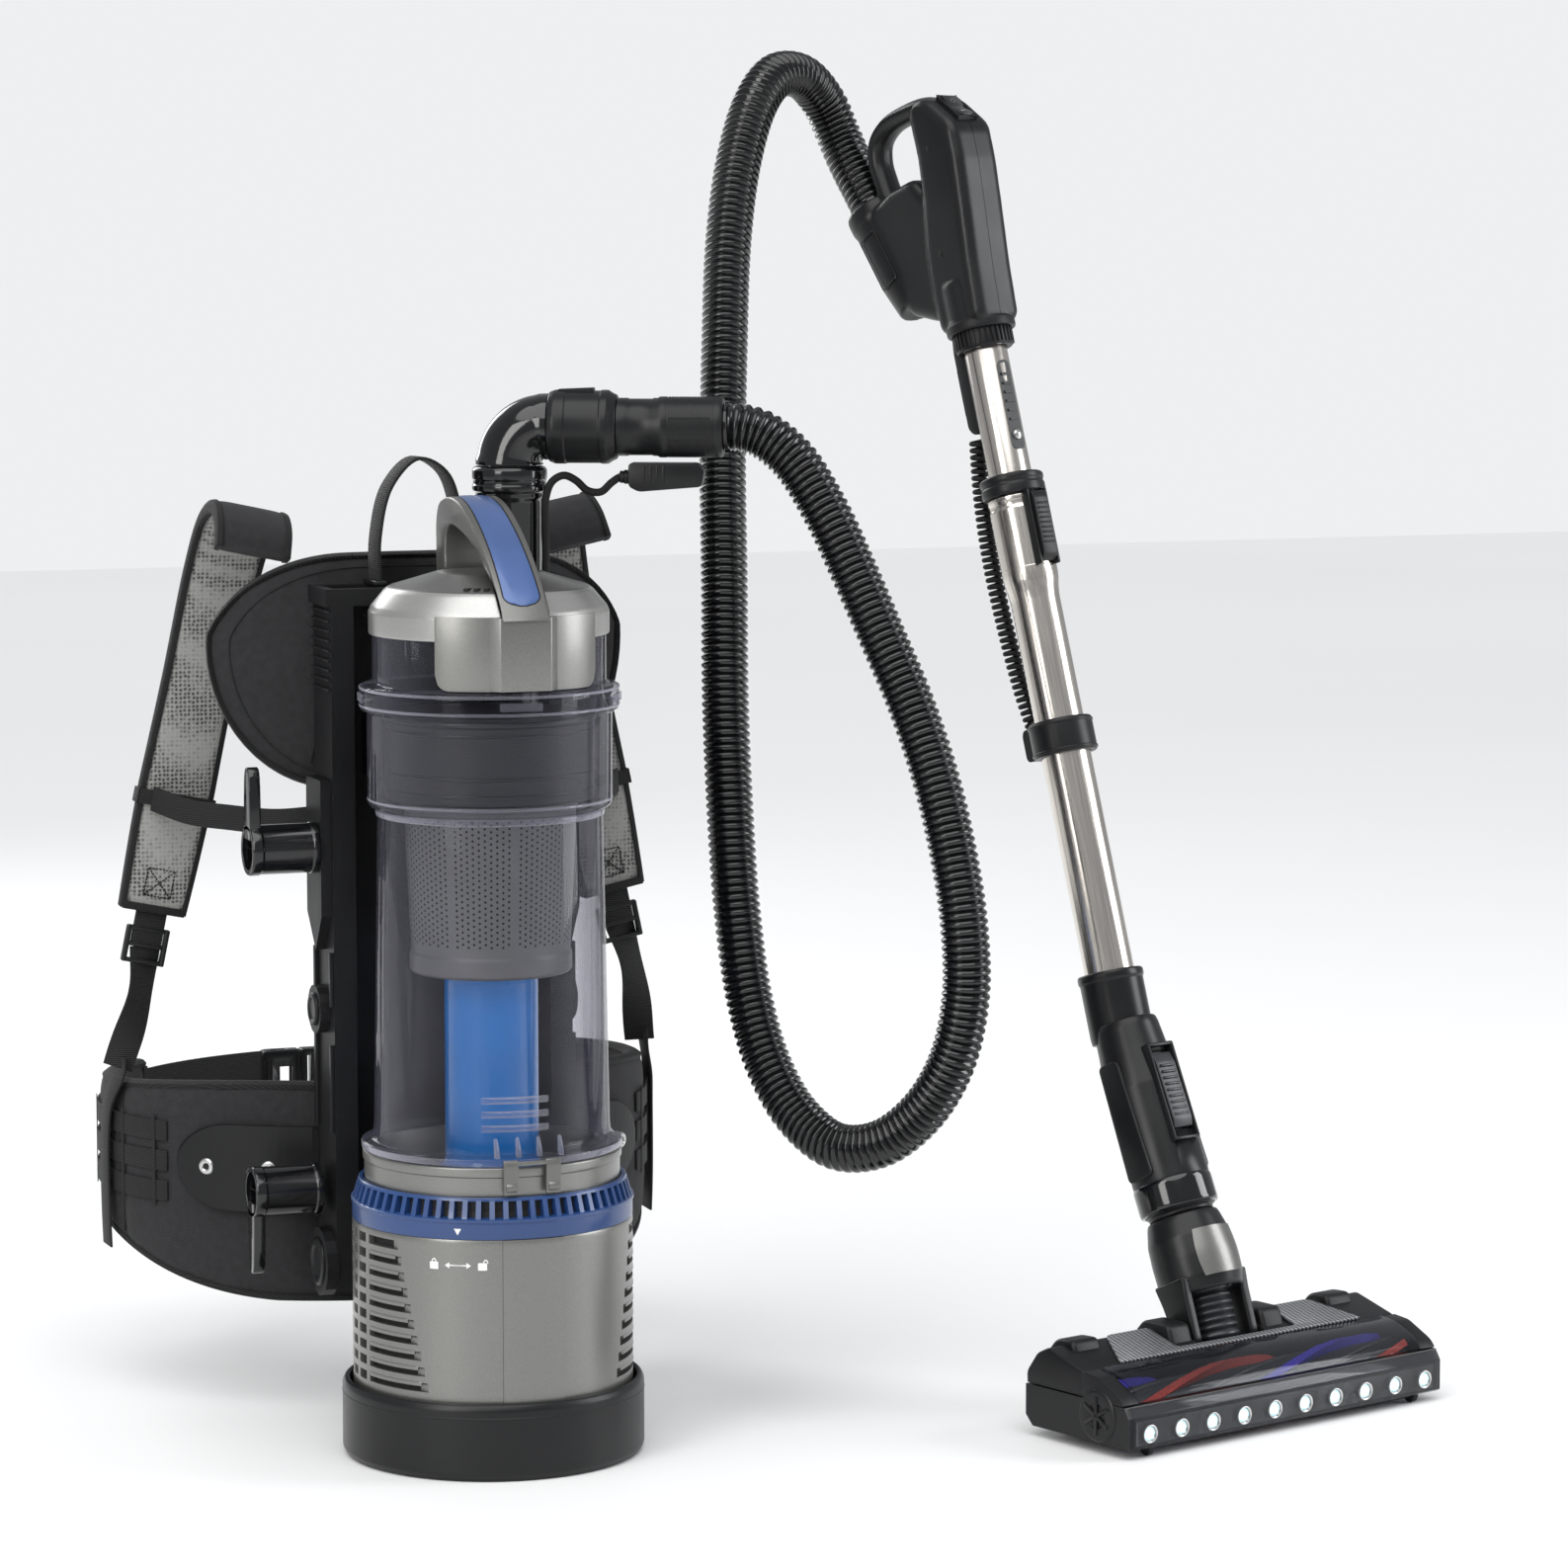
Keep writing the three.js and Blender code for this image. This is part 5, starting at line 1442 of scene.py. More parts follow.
def belt_point(degrees, offset, z):
    a = math.radians(degrees)
    out = Vector((math.sin(a) / BELT_A, -math.cos(a) / BELT_B, 0)).normalized()
    return Vector((BELT_A * math.sin(a), BELT_Y - BELT_B * math.cos(a), z)) + out * offset


def belt_ribbon(start, end, low, high, offset, thick, step=2.0):
    """A strip of webbing round the belt; low and high may be functions of the angle."""
    angles = np.arange(start, end + step / 2, step)
    points, faces = [], []
    for a in angles:
        z0, z1 = (f(a) if callable(f) else f for f in (low, high))
        for out, z in ((offset, z0), (offset + thick, z0), (offset + thick, z1), (offset, z1)):
            points.append(tuple(belt_point(a, out, z)))
    for i in range(len(angles) - 1):
        for j in range(4):
            k = (j + 1) % 4
            faces.append([4 * i + j, 4 * i + k, 4 * i + 4 + k, 4 * i + 4 + j])
    n = len(points)
    return points, faces + [[3, 2, 1, 0], [n - 4, n - 3, n - 2, n - 1]]


def make_belt():
    angles = np.linspace(-BELT_END + 1.2, BELT_END - 1.2, 150)
    count = 30
    points, faces = [], []
    for i, a in enumerate(angles):
        low, high = belt_span(-BELT_B * math.cos(math.radians(a)))
        channel = min(1.0, min(abs(a - c) for c in (-104, -78, -20, 20, 78, 104)) / 3.2)
        end = min(1.0, min(i, len(angles) - 1 - i) / 4 + 0.35)
        half = (BELT_T / 2 - 1.4) * (0.72 + 0.28 * math.sin(channel * math.pi / 2)) * end ** 0.5
        for k in range(count):
            t = 2 * math.pi * k / count
            c, s = math.cos(t), math.sin(t)
            depth = half * math.copysign(abs(c) ** 0.55, c)
            z = (low + high) / 2 + (high - low) / 2 * math.copysign(abs(s) ** 0.42, s)
            points.append(tuple(belt_point(a, depth, z)))
    for i in range(len(angles) - 1):
        for j in range(count):
            k = (j + 1) % count
            faces.append([i * count + j, i * count + k, (i + 1) * count + k, (i + 1) * count + j])
    n = len(points)
    faces += [list(range(count - 1, -1, -1)), list(range(n - count, n))]
    pad = piece("belt_cushion", (points, faces), TWILL, None, "lumbar_belt", sharp=80)
    wrinkled(pad, 0.0008, 0.05, 11)
    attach(pad, "backpack")
    edges = []
    for top in (0, 1):
        rim = [belt_point(a, 0, belt_span(-BELT_B * math.cos(math.radians(a)))[top]) for a in angles]
        s = 1 if top else -1
        edges.append(sweep(rim, [(-6.5, -s * 4.5), (-7.2, -s * 1), (-4, s * 1.6), (0, s * 2.2), (4, s * 1.6),
                                 (7.2, -s * 1), (6.5, -s * 4.5)], (0, 0, 1)))
    for a in (-BELT_END + 1.5, BELT_END - 1.5):
        edges.append(belt_ribbon(a - 1.0, a + 1.0, 153, 237, -7, 14, 1.0))
    piece("belt_binding", edges, BINDING, "backpack", sharp=50)
    rows, seams = [], []
    for s in (-1, 1):
        a, b = sorted((s * 60, s * 124))
        for k in range(3):
            z = 168 + 24 * k
            rows.append(belt_ribbon(a, b, z - 8, z + 8, BELT_T / 2 - 1.2, 1.9))
        for degrees in (64, 76, 88, 100, 112, 122):
            rows.append(belt_ribbon(s * degrees - 0.5, s * degrees + 0.5, 156, 228, BELT_T / 2 + 0.4, 0.9,
                                    0.5))
        a, b = sorted((s * 40, s * 122))
        rows.append(belt_ribbon(a, b, 186, 226, -BELT_T / 2 - 0.4, 1.6))
    piece("belt_loops", rows, WEB_Z, "backpack", bevel=0.3)
    for a in (-104, -78, -20, 20, 78, 104):
        low, high = belt_span(-BELT_B * math.cos(math.radians(a)))
        for side in (-1, 1):
            line = [belt_point(a, side * (BELT_T / 2 * 0.66), z) for z in np.linspace(low + 8, high - 8, 16)]
            seams.append(tube(line, 0.7, 6))
    piece("belt_seams", seams, BINDING, "backpack")


def make_waist_webbing():
    left = [belt_ribbon(-166, -BELT_END + 8, 187, 233, -1.4, 2.8),
            belt_ribbon(-150, -BELT_END - 4, 190, 230, 1.6, 1.4)]
    piece("waist_web_left", left, WEB_Z, "backpack", "belt_webbing_left", bevel=0.4)
    right = [belt_ribbon(136, 177, 187, 233, -1.4, 2.8)]
    piece("waist_web_right", right, WEB_Z, "belt_buckle", "belt_webbing_right", bevel=0.4)
    piece("waist_web_stub", [belt_ribbon(118, 137, 189, 231, -4.6, 2.2)], WEB_Z, "backpack", bevel=0.4)


def make_buckle():
    at = Matrix.Translation((-24, BELT_Y + BELT_B - 1, 210))
    shell = soften([(-29, -21), (-25, -23), (5, -23), (5, 23), (-25, 23), (-29, 21)], 2.5, 4, True)
    body = prism(shell, -6.4, 6.4, "Y")
    socket = piece("buckle_body", [body], BLACK, None, "buckle_socket", at=at, bevel=1.6, segments=3,
                   edges=50)
    cut_with(socket, brick((-4, -4, -17.5), (8, 4, 17.5)), brick((-13, -9, -9), (-2, 9, 9)), at=at)
    for s in (-1, 1):
        cut_with(socket, brick((-20, -3.6, s * 21 - 4), (-7, 3.6, s * 21 + 4)), at=at)
    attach(socket, "backpack")
    ridges = [brick((-27 + 3 * k, -7.0, -15), (-25.6 + 3 * k, -6.2, 15)) for k in range(3)]
    piece("buckle_ridges", ridges, BLACK, "backpack", at=at, bevel=0.3)
    plate = prism(soften([(5.6, -23), (24, -23), (29, -19), (29, 19), (24, 23), (5.6, 23)], 2.5, 4, True),
                  -6.2, 6.2,
                  "Y")
    prongs = []
    for s in (-1, 1):
        outline = [(7, s * 7), (-13, s * 8), (-18, s * 12), (-16, s * 15.6), (-8, s * 16.4), (-7, s * 14.4),
                   (-6.5, s * 13), (7, s * 13)]
        prongs.append(prism(soften(outline, 1.2, 3, True), -2.4, 2.4, "Y"))
    prongs.append(prism([(7, -2), (-12, -2), (-12, 2), (7, 2)], -2.2, 2.2, "Y"))
    plug = piece("buckle_tongue", [plate, *prongs], BLACK, None, "buckle_plug", at=at, bevel=1.2, segments=3,
                 edges=50)
    cut_with(plug, brick((11, -9, -17.5), (15, 9, 17.5)), brick((19, -9, -17.5), (24, 9, 17.5)), at=at)
    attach(plug, "belt_buckle")


make_belt()
make_waist_webbing()
make_buckle()


# ---------------------------------------------------------------- wand
def make_tubes():
    outer = ring([(18.6, -42), (20, -42), (20, 306), (20.6, 312), (22, 320), (22.5, 326), (22.5, 380),
                          (21.9, 382), (21.9, 385), (22.5, 387), (22.5, 391), (18.6, 391)], 1.5, 4, 96)
    ridge = lathe([(21.9 + 0.7 * math.cos(t), 331 + 1.3 * math.sin(t))
                   for t in np.linspace(0, 2 * math.pi, 12, endpoint=False)], 96, True)
    piece("tube_outer", [outer, ridge], STEEL, "wand", "outer_tube", at=WAND)
    cap = ring([(18.2, 391.4), (25, 391.4), (26, 393), (26, 399), (25.2, 400), (25.2, 402), (26, 403),
                        (26, 406.6), (24.6, 408), (18.2, 408)], 0.6, 3, 96)
    piece("tube_cap", cap, BLACK, "wand", "tube_top_ring", at=WAND)
    inner = ring([(15.9, -410), (17.5, -410), (17.5, 8), (15.9, 8)], 0.5, 2, 96)
    piece("tube_inner", inner, STEEL, "handle", "inner_tube", at=GRIP)
    inset = soften([(-6.5, -37), (6.5, -37), (6.5, 37), (-6.5, 37)], 5.5, 5, True)
    rack = [on_drum(inset, 0, -66, 17.5, 0.8)]
    rack += [on_drum(soften([(-4, -1.1), (4, -1.1), (4, 1.1), (-4, 1.1)], 0.5, 2, True), 0, -78 + 7.5 * k,
                     17.9, 1.0)
             for k in range(6)]
    piece("inset_plate", rack, BLACK, "handle", at=GRIP)
    dome = moved(lathe([(0, 20.6), (2.4, 20.2), (4, 19.2), (4.6, 17.6), (4.6, 12), (0, 12)], 32),
                 place(WORLD, (0, 0, -91), rx=90))
    piece("pin_dome", dome, RIVET, "pin_button", "pin_button", at=GRIP)


def make_slide_button():
    side = [(-22.8, 333), (-25.5, 333), (-29.6, 337), (-30.6, 343), (-30.6, 384), (-29, 389), (-26, 390.6),
            (-22.8, 390.6)]
    base = prism(soften(side, 1.6, 3, True), -7.4, 7.4, "X")
    ridges = [prism([(-30.3, z), (-31.5, z + 0.5), (-31.5, z + 1.5), (-30.3, z + 2)], -5.4, 5.4, "X")
              for z in range(346, 382, 4)]
    piece("slider", [base, *ridges], BLACK, "slide_button", "slide_button", at=WAND, bevel=1.0, segments=3,
          edges=45)
    rails = [prism(soften([(-20, 330), (-27.5, 330), (-27.5, 392), (-20, 392)], 1.4, 3, True),
                   *sorted((s * 8.2, s * 10.4)), "X") for s in (-1, 1)]
    piece("slider_rails", rails, BLACK, "wand", at=WAND, bevel=0.6)


def make_clip():
    band = ring([(20.4, 178), (25.2, 178), (26, 179.5), (26, 204.5), (25.2, 206), (20.4, 206)], 0.8, 3,
                 96)
    lip = [ring([(25.6, z), (26.7, z + 0.6), (26.7, z + 2.2), (25.6, z + 2.8)], 0.5, 3, 96)
           for z in (179.5, 201.5)]
    lug = prism(soften([(23, 180), (36, 180), (38.5, 183), (38.5, 202), (36, 206.2), (23, 206.2)], 2, 3,
                       True),
                -8, 8, "X")
    collar = moved(turned([(0, 203), (6.5, 203), (6.5, 209), (4.2, 214), (2.6, 214), (0, 214)], 0.7, 3, 32),
                   Matrix.Translation((0, 31, 0)))
    piece("clip_band", [band, *lip, lug, collar], BLACK, "wand", "clip_ring", at=WAND)


def softened_body(name, parts, paint, at, voxel, smooth):
    """Joins overlapping closed parts into one skin with rounded inside corners."""
    obj = piece(name, parts, paint, None, at=at)
    remesh = obj.modifiers.new("join", "REMESH")
    remesh.mode, remesh.voxel_size = "VOXEL", voxel * MM
    settled(obj)
    round_off = obj.modifiers.new("round", "SMOOTH")
    round_off.factor, round_off.iterations = 0.5, smooth
    settled(obj)
    obj.data.shade_smooth()
    return obj


def half_of(source, name, side, gap):
    """The side of a body beyond the grip's middle plane."""
    bm = bmesh.new()
    bm.from_mesh(source.data)
    across = (GRIP.to_3x3() @ Vector((1, 0, 0))).normalized()
    bmesh.ops.bisect_plane(bm, geom=[*bm.verts, *bm.edges, *bm.faces],
                           plane_co=world(GRIP, (side * gap, 0, 0)),
                           plane_no=across, clear_outer=side < 0, clear_inner=side > 0)
    return finish_mesh(bm, name, list(source.data.materials), 40)


def bevelled(part, amount, segments=4):
    """A part with rounded edges."""
    bm = bmesh.new()
    corners = [bm.verts.new(p) for p in part[0]]
    for face in part[1]:
        bm.faces.new([corners[i] for i in face])
    bmesh.ops.recalc_face_normals(bm, faces=bm.faces)
    chosen = [e for e in bm.edges if e.calc_face_angle(0) > math.radians(35)]
    bmesh.ops.bevel(bm, geom=chosen, offset=amount, segments=segments, profile=0.5, affect="EDGES",
                    clamp_overlap=True)
    bm.verts.ensure_lookup_table()
    made = [tuple(v.co) for v in bm.verts], [[v.index for v in f.verts] for f in bm.faces]
    bm.free()
    return made


def make_handle():
    nose = [(-26.5, 2), (-29, 50), (-34, 100), (-37, 135), (-37, 165), (-10, 195), (8, 196), (15, 185),
            (14, 150),
            (17, 118), (26, 70), (28, 30), (26.5, 2)]
    web = [(10, 20), (30, 16), (60, 30), (86, 60), (104, 100), (84, 128), (60, 136), (28, 138), (8, 110)]
    mouth = Vector((0, 100, 132))
    out = Vector((0, 0.358, 0.934))
    turn = Matrix.Translation(mouth) @ out.to_track_quat("Z", "Y").to_matrix().to_4x4()
    socket = turned([(0, -100), (20, -100), (23.4, -70), (23.6, -16), (25, -14), (25, -1), (22, -0.5),
                           (0, -0.5)], 1.5, 3, 48)
    loop = [(0, -8, 184), (0, 10, 192), (0, 36, 194), (0, 60, 191.5), (0, 76, 182), (0, 81, 166),
            (0, 79, 150),
            (0, 74, 126)]
    parts = [
        bevelled(prism(nose, -23.5, 23.5, "X"), 9),
        bevelled(prism(web, -19.5, 19.5, "X"), 8),
        moved(socket, turn),
        sweep(even(centripetal(loop, 8), 4), [(11.5 * math.cos(t), 8.6 * math.sin(t))
                                              for t in np.linspace(0, 2 * math.pi, 24, endpoint=False)],
              (0, 0, 1)),
        turned([(0, 0.5), (26.5, 0.5), (27, 2), (27, 7), (26, 9), (26, 40), (0, 60)], 1, 3, 48),
    ]
    body = softened_body("grip_body", parts, BLACK, GRIP, 1.7, 5)
    # A near-black inner body, shrunk inside the two halves, shows in the split between them: painted shade
    # in the gap.
    core = softened_body("grip_shade_core", parts, PAINTED_SHADE, GRIP, 2.4, 9)
    for side, label in ((-1, "left"), (1, "right")):
        half = half_of(body, f"grip_{label}", side, 0.22)
        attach(half, "handle")
        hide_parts(f"handle_{label}")
    bpy.data.objects.remove(body)
    for v in core.data.vertices:
        v.co -= v.normal * 0.7 * MM
    core.name = "grip_gap_shade"
    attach(core, "handle")

    details = []
    for y, z in ((-6, 152), (4, 66), (74, 74)):
        for side in (-1, 1):
            depth = (23.0 if y < 20 else 19.2) - 0.7
            details += screw(place(GRIP, (side * depth, y, z), ry=side * 90), 3.4)
    # The screws' cross slots take the near-black: painted shade in the slots.
    piece("grip_screws", details, [BLACK_SOFT, PAINTED_SHADE], "handle")
    teeth = []
    for i in range(36):
        teeth.append(moved(brick((-1.1, -24.6, -14), (1.1, -21.5, -1)), place(WORLD, rz=10 * i)))
    sleeve = ring([(17.8, -16), (22.4, -16), (23.4, -14), (23.4, -1), (25.4, 0.6), (17.8, 0.6)], 0.8, 3, 72)
    rim = ring([(20, -1.2), (27.6, -1.2), (28.2, 0.5), (28.2, 5.5), (27.2, 7.5), (20, 7.5)], 0.9, 3,
                96)
    sheath = bevelled(prism(soften([(17.5, -80), (26, -80), (31, -74), (31, -10), (29, 4), (17.5, 4)], 3, 3,
                                   True),
                            -7.8, 7.8, "X"), 1.6, 3)
    latch = bevelled(prism(soften([(30.6, -66), (33.5, -62), (33.5, -24), (30.6, -20)], 1.2, 3, True), -5,
                           5, "X"), 0.8)
    piece("grip_collar", [*teeth, sleeve, rim, sheath, latch], BLACK_SOFT, "handle", at=GRIP, bevel=0.4,
          edges=50)
    panel = []
    for side in (-1, 1):
        matrix = turn @ place(WORLD, (0, 0, -52), rz=0)
        outline = soften([(-20, -17), (20, -17), (20, 17), (-20, 17)], 3, 4, True)
        frame_line = [(side * (23.9 if abs(a) < 9 else 23.9 * math.cos(math.asin(a / 30))), a, b)
                      for a, b in [(v * 0.6, u * 1.2) for u, v in outline]]
        panel.append(moved(tube(even([Vector(p) for p in frame_line + frame_line[:1]], 2), 0.55, 6), matrix))
    piece("grip_panel_lines", panel, BLACK, "handle", at=GRIP)
    pivot = place(GRIP, (0, -23.5, 181), rx=math.degrees(math.atan2(30, 27)))
    rocker = prism(soften([(-13.4, -4), (-13.4, 2.6), (0, 1.4), (13.4, 3.4), (13.4, -4)], 0.8, 3, True),
                   -7.9, 7.9, "X")
    marks = [moved(brick((-2.6, -0.35, 0), (2.6, 0.35, 0.25)), place(WORLD, (0, -7.5, 2.0), rx=-5)),
             moved(tube([(2.2 * math.cos(t), 2.2 * math.sin(t), 0.1) for t in np.linspace(0, 2 * math.pi,
                 20)], 0.28, 6),
                   place(WORLD, (0, 7.5, 2.35), rx=8))]
    piece("rocker_switch", [rocker, *[inked(m, 1) for m in marks]], [GLOSS, WHITE_MARK], "power_switch",
          "power_switch", at=pivot, bevel=0.5, edges=50)
    frame_ring = []
    for low, high in (((-10.4, -16.4, -3), (-8.3, 16.4, 2.2)), ((8.3, -16.4, -3), (10.4, 16.4, 2.2)),
                      ((-10.4, -16.4, -3), (10.4, -13.9, 2.2)), ((-10.4, 13.9, -3), (10.4, 16.4, 2.2))):
        frame_ring.append(brick(low, high))
    piece("switch_frame", frame_ring, BLACK_SOFT, "handle", at=pivot, bevel=0.7)


# ---------------------------------------------------------------- neck
def make_neck():
    sleeve = moved(ring([(20.4, -56), (25, -56), (25.5, -50), (25.5, -8), (26.6, -6), (26.6, -1.5),
                         (25.4, 0),
                                 (20.4, 0)], 0.9, 3, 96), NECK.inverted() @ WAND)
    body = turned([(0, 96.4), (26, 96.4), (26, 99), (29, 101), (29.6, 118), (30.6, 122), (31, 126),
                   (31, 203),
                         (30, 212), (27.6, 234), (26.2, 252), (25, 257), (0, 258)], 1.6, 4, 96)
    flats = []
    for s in (-1, 1):
        rib = soften([(-14, 130), (14, 130), (11, 226), (-11, 226)], 5, 4, True)
        flats.append(bevelled(prism([(y, z) for y, z in rib], *sorted((s * 27.5, s * 31.6)), "X"), 0.8, 2))
    frame_side = [bevelled(brick((s * 12.4 - 1.3, -33.2, 152), (s * 12.4 + 1.3, -24, 230)), 1.0,
                           2) for s in (-1, 1)]
    frame_side += [bevelled(brick((-13.6, -33, z), (13.6, -24, z + 3)), 1.0, 2) for z in (151, 228)]
    barrel = piece("neck_barrel", body, BLACK, None, "neck_body", at=NECK)
    cut_with(barrel, brick((-10.9, -40, 159.4), (10.9, -25.4, 224.8)), at=NECK)
    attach(barrel, "wand")
    piece("neck_sleeve", [sleeve, *flats, *frame_side], BLACK, "wand", at=NECK)
    band = ring([(26, 101), (31.2, 101.5), (31.9, 104), (31.9, 122), (31.3, 125), (26, 126)], 1, 3,
                 96)
    piece("neck_band", band, GLOSS, "wand", at=NECK)
    plate = bevelled(prism(soften([(-28.6, 161), (-32, 161), (-34, 168), (-33, 214), (-30.5, 223),
                                   (-28.6, 223)], 1.4,
                                  3, True), -9.8, 9.8, "X"), 1.0, 3)
    ribs = [bevelled(prism([(-32.6, z), (-35.0, z + 0.7), (-35.0, z + 2.2), (-32.6, z + 3)], -7.2, 7.2,
                           "X"), 0.4, 2)
            for z in range(170, 212, 5)]
    piece("latch_plate", [plate, *ribs], CHARCOAL, "neck_release", "neck_release", at=NECK)

    core = ring([(22, 34), (30, 32), (31.5, 34), (34, 44), (34, 62), (33, 78), (29.5, 92), (28, 95.6),
                         (21, 95.6), (21, 60)], 1.6, 4, 96)
    ears = []
    for s in (-1, 1):
        low, high = sorted((s * 26, s * 34.4))
        side = [(12.2 * math.cos(t), 12.2 * math.sin(t)) for t in np.linspace(math.pi, 2 * math.pi, 16)]
        side += [(15, 30), (18, 46), (-18, 46), (-15, 30)]
        ears.append(bevelled(prism(side, low, high, "X"), 2.0, 3))
        pin = moved(turned([(0, 33), (5, 33), (5, 47), (4, 48), (0, 48)], 0.6, 2, 32),
                    place(WORLD, ry=90 if s > 0 else -90))
        ears.append(pin)
    piece("pivot_body", [core, *ears], BLACK, "neck_pivot", "pivot_shell", at=NECK)
    radius, low, high = 34.4, 42, 80
    rows = np.linspace(low, high, 9)
    angles = np.linspace(-38, 38, 25)
    points, faces = [], []
    for z in rows:
        for a in angles:
            t = (z - low) / (high - low)
            half = 30 + 8 * math.sin(math.pi * (0.2 + 0.6 * t))
            r = radius + 0.6 - max(0, z - 62) * 0.06 + 0.5 * math.sin(math.pi * t)
            b = math.radians(a / 38 * half)
            points.append((r * math.sin(b), -r * math.cos(b), z))
    n = len(angles)
    for i in range(len(rows) - 1):
        for j in range(n - 1):
            faces.append([i * n + j, i * n + j + 1, (i + 1) * n + j + 1, (i + 1) * n + j])
    # The panel takes the darker silver copy: painted shade.
    piece("pivot_panel", (points, faces), SILVER_PAINTED_SHADE, "neck_pivot", at=NECK)

    route = [(0, 18, 100), (0, 11, 86), (0, 5, 72), (0, 0, 58), (0, -1, 47), (0, -1, 41.5)]
    line = even(centripetal(route, 12), 1.15)
    depth = (0.0, 0.5, 1.0, 1.0, 0.5)
    duct = piece("bellows", sweep(line, lambda i: circle(19.4 - 2.6 * (1 - depth[i % 5]), 40), (0, 1, 0)),
                 CHARCOAL,
                 None, "neck_duct", at=HEAD, sharp=70)
    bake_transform(duct)


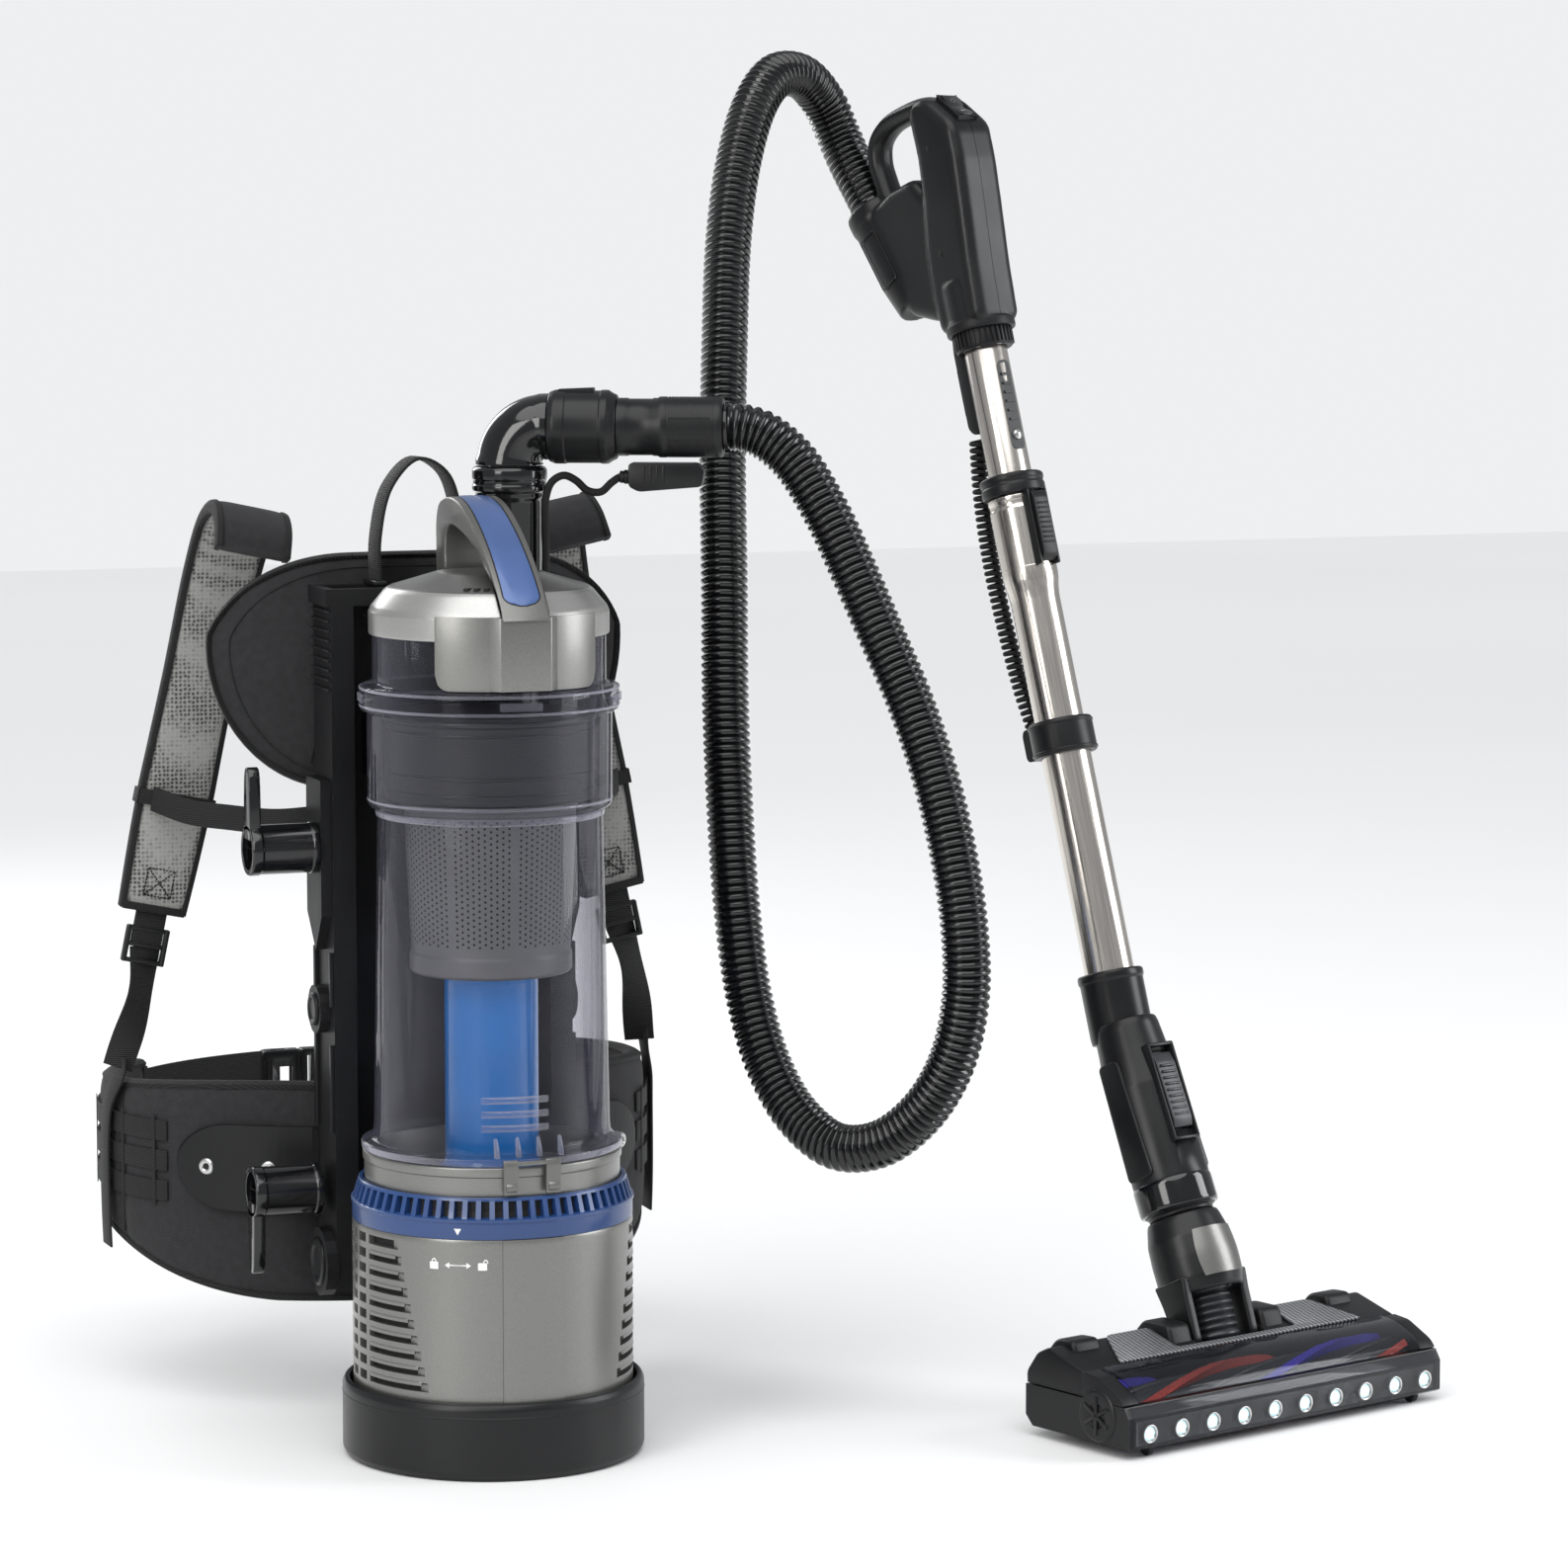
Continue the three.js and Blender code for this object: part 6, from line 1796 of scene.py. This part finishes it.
# ---------------------------------------------------------------- power head
def make_head():
    side = HEAD_W / 2
    keep("head_base", BLACK, 1.4, 3)
    outline = [(-30, 40.4), (35.6, 40.4), (36, 50), (24, 66), (12, 71.8), (-30, 60)]
    parts = []
    for s in (-1, 1):
        low, high = sorted((s * 37, s * side))
        parts.append(bevelled(prism(soften(outline, 3, 3, True), low, high, "X"), 2.6, 3))
        cheek = soften([(-16, 60), (-9, 78), (20, 78), (31, 66), (31, 44), (-16, 44)], 5, 4, True)
        parts.append(bevelled(prism(cheek, *sorted((s * 38, s * 61)), "X"), 3.4, 4))
        hump = soften([(-4, 60), (2, 76), (22, 75), (34, 62), (36, 42), (-4, 42)], 5, 4, True)
        parts.append(bevelled(prism(hump, *sorted((s * 122, s * 150)), "X"), 4, 4))
        end = soften([(-76, 40.4), (-28, 40.4), (-28, 60.5), (-46, 58.6), (-70, 47)], 3, 3, True)
        parts.append(bevelled(prism(end, *sorted((s * (side - 16), s * side)), "X"), 2.0, 3))
    parts.append(bevelled(prism([(-30, 40.4), (-22.6, 40.4), (-22.6, 62), (-30, 60)], -38, 38, "X"), 0.8, 2))
    piece("cover_shell", parts, BLACK_SOFT, "power_head", "head_cover", at=HEAD)

    fine = centripetal([(0, y, z) for y, z in ((HEAD_FRONT + 9.5, 41.5), (HEAD_FRONT + 14, 48),
                                               (BRUSH_Y - 2, 58.2), (COVER_FRONT - 1.5, 60.5))], 8)
    strip = sweep(fine,
                  [(-(side - 16.8), -1.1), (side - 16.8, -1.1), (side - 16.8, 1.1), (-(side - 16.8), 1.1)],
                  (0, 0, 1))
    piece("window_pane", strip, SMOKE, "power_head", "brush_window", at=HEAD, bevel=0.4, edges=60)

    slope = math.degrees(math.atan2(11.8, 12 - COVER_FRONT))
    outline = [(-130, 0), (130, 0), (108, 42), (64, 42), (64, 7), (-64, 7), (-64, 42), (-108, 42)]
    plate = bevelled(prism(soften(outline, 4, 4, True), 0, 2.4), 0.7, 2)
    piece("trim_plate", plate, TRIM, "power_head", "trim_panel",
          at=place(HEAD, (0, COVER_FRONT, 60.45), rx=slope))

    section = soften([(HEAD_FRONT, 8), (HEAD_FRONT + 2.6, 8), (HEAD_FRONT + 2.6, 32),
                      (HEAD_FRONT + 7.4, 39.5),
                      (HEAD_FRONT + 4, 39.5), (HEAD_FRONT, 33)], 1, 3, True)
    piece("bumper_lens", bevelled(prism(section, -side + 4, side - 4, "X"), 0.5, 2), SMOKE, "power_head",
          "led_bumper", at=HEAD)
    lights, cups = [], []
    for i in range(10):
        x = -side + 20 + (HEAD_W - 40) * i / 9
        at = place(WORLD, (x, HEAD_FRONT + 0.6, 19), rx=90)
        lights.append(moved(lathe([(0, 1.5), (2.2, 1.2), (3.6, 0.3), (4.1, -0.8), (4.1, -2), (0, -2)], 24),
                            at))
        cups.append(moved(ring([(4.3, -2), (6.4, -2), (7.2, 0.9), (6.2, 0.9), (4.6, -0.6)], 0.3, 2, 32), at))
    piece("light_domes", lights, LED, "power_head", at=HEAD)
    piece("light_cups", cups, RIVET, "power_head", at=HEAD)
    strip = [brick((-side + 8, HEAD_FRONT + 3.0, 10), (side - 8, HEAD_FRONT + 3.4, 29))]
    # The strip takes the lighter silver copy: painted highlight.
    piece("light_strip", strip, SILVER_PAINTED_HIGHLIGHT, "power_head", at=HEAD, bevel=0.15)

    core = turned([(0, -side + 12.2), (4.9, -side + 12.2), (4.9, -side + 16), (17, -side + 17),
                   (17, side - 17),
                         (4.9, side - 16), (4.9, side - 12.2), (0, side - 12.2)], 0.8, 2, 64)
    centre = place(WORLD, (0, BRUSH_Y, BRUSH_Z))
    parts = [moved(core, centre @ ALONG_X)]
    for k in range(4):
        line = []
        for x in np.linspace(-side + 20, side - 20, 110):
            a = math.radians(160 - (x + 140) * 100 / 140 + 90 * k)
            line.append((x, a))
        points, faces = [], []
        for x, a in line:
            along = Vector((0, math.cos(a), math.sin(a)))
            across = Vector((0, -math.sin(a), math.cos(a)))
            jitter = rng.uniform(-0.5, 0.3)
            for r, w in ((16, 2.2), (23.6 + jitter, 2.9), (23.6 + jitter, -2.9), (16, -2.2)):
                points.append(tuple(Vector((x, 0, 0)) + along * r + across * w))
        for i in range(len(line) - 1):
            for j in range(4):
                m = (j + 1) % 4
                faces.append([4 * i + j, 4 * i + m, 4 * i + 4 + m, 4 * i + 4 + j])
        n = len(points)
        faces += [[3, 2, 1, 0], [n - 4, n - 3, n - 2, n - 1]]
        parts.append(inked(moved((points, faces), centre), 1 + k % 2))
        ridge = [tuple(Vector((x, 0, 0)) + Vector((0, math.cos(a + 0.75),
                                                   math.sin(a + 0.75))) * 17.2) for x, a in line]
        parts.append(inked(moved(tube(ridge, 2.0, 8, (0, 0, 1)), centre), 0))
    piece("brush_body", parts, [CHARCOAL, RED, VIOLET], "brush_roll", "brush_roll", at=HEAD)

    for name, node, radius, axle, middle, width, at in (
            ("wheel_pair", "rear_wheels", 16, 3.5, 114, 12, (0, 21, 16)),
            ("roller_pair", "front_rollers", 6, 2.2, 142, 6, (0, HEAD_FRONT + 10, 6))):
        wheels = [moved(lathe([(0, -middle), (axle, -middle), (axle, middle), (0, middle)], 32), ALONG_X)]
        for s in (-1, 1):
            a, b = middle - width / 2, middle + width / 2
            tyre = soften([(0, a), (radius * 0.6, a), (radius * 0.66, a + 0.8), (radius * 0.9, a),
                           (radius, a + 1.4),
                           (radius, b - 1.4), (radius * 0.9, b), (radius * 0.66, b - 0.8),
                           (radius * 0.6, b), (0, b)],
                          0.6, 3)
            wheels.append(moved(lathe([(r, s * z) for r, z in tyre], 64), ALONG_X))
        piece(name, wheels, RUBBER, node, node, at=place(HEAD, at))

    ends = []
    for s in (-1, 1):
        at = place(WORLD, (s * side, BRUSH_Y, BRUSH_Z), ry=s * 90)
        disc = turned([(0, 0.8), (9, 0.8), (10, 1.6), (18.5, 1.6), (20.5, 0.4), (20.5, -2), (0, -2)], 0.7,
                      3, 64)
        ends.append(moved(disc, at))
        for t in (0, 60, 120):
            bar = bevelled(brick((-15, -1.6, 1.2), (15, 1.6, 2.4)), 0.5, 2)
            ends.append(moved(bar, at @ place(WORLD, rz=t)))
    piece("brush_end_caps", ends, BLACK, "power_head", at=HEAD, bevel=0.0)
    # Near-black lines along the cover's edges: painted shade in the seams between the parts.
    trims = []
    for s in (-1, 1):
        line = [(s * (side - 0.4), y, z) for y, z in ((34, 42), (-24, 42), (-74, 38))]
        trims.append(tube(line, 0.7, 6))
    trims.append(tube([(-side + 6, HEAD_BACK - 0.4, 42), (side - 6, HEAD_BACK - 0.4, 42)], 0.7, 6))
    piece("cover_seams", trims, PAINTED_SHADE, "power_head", at=HEAD)


make_tubes()
make_slide_button()
make_clip()
make_handle()
make_neck()
make_head()
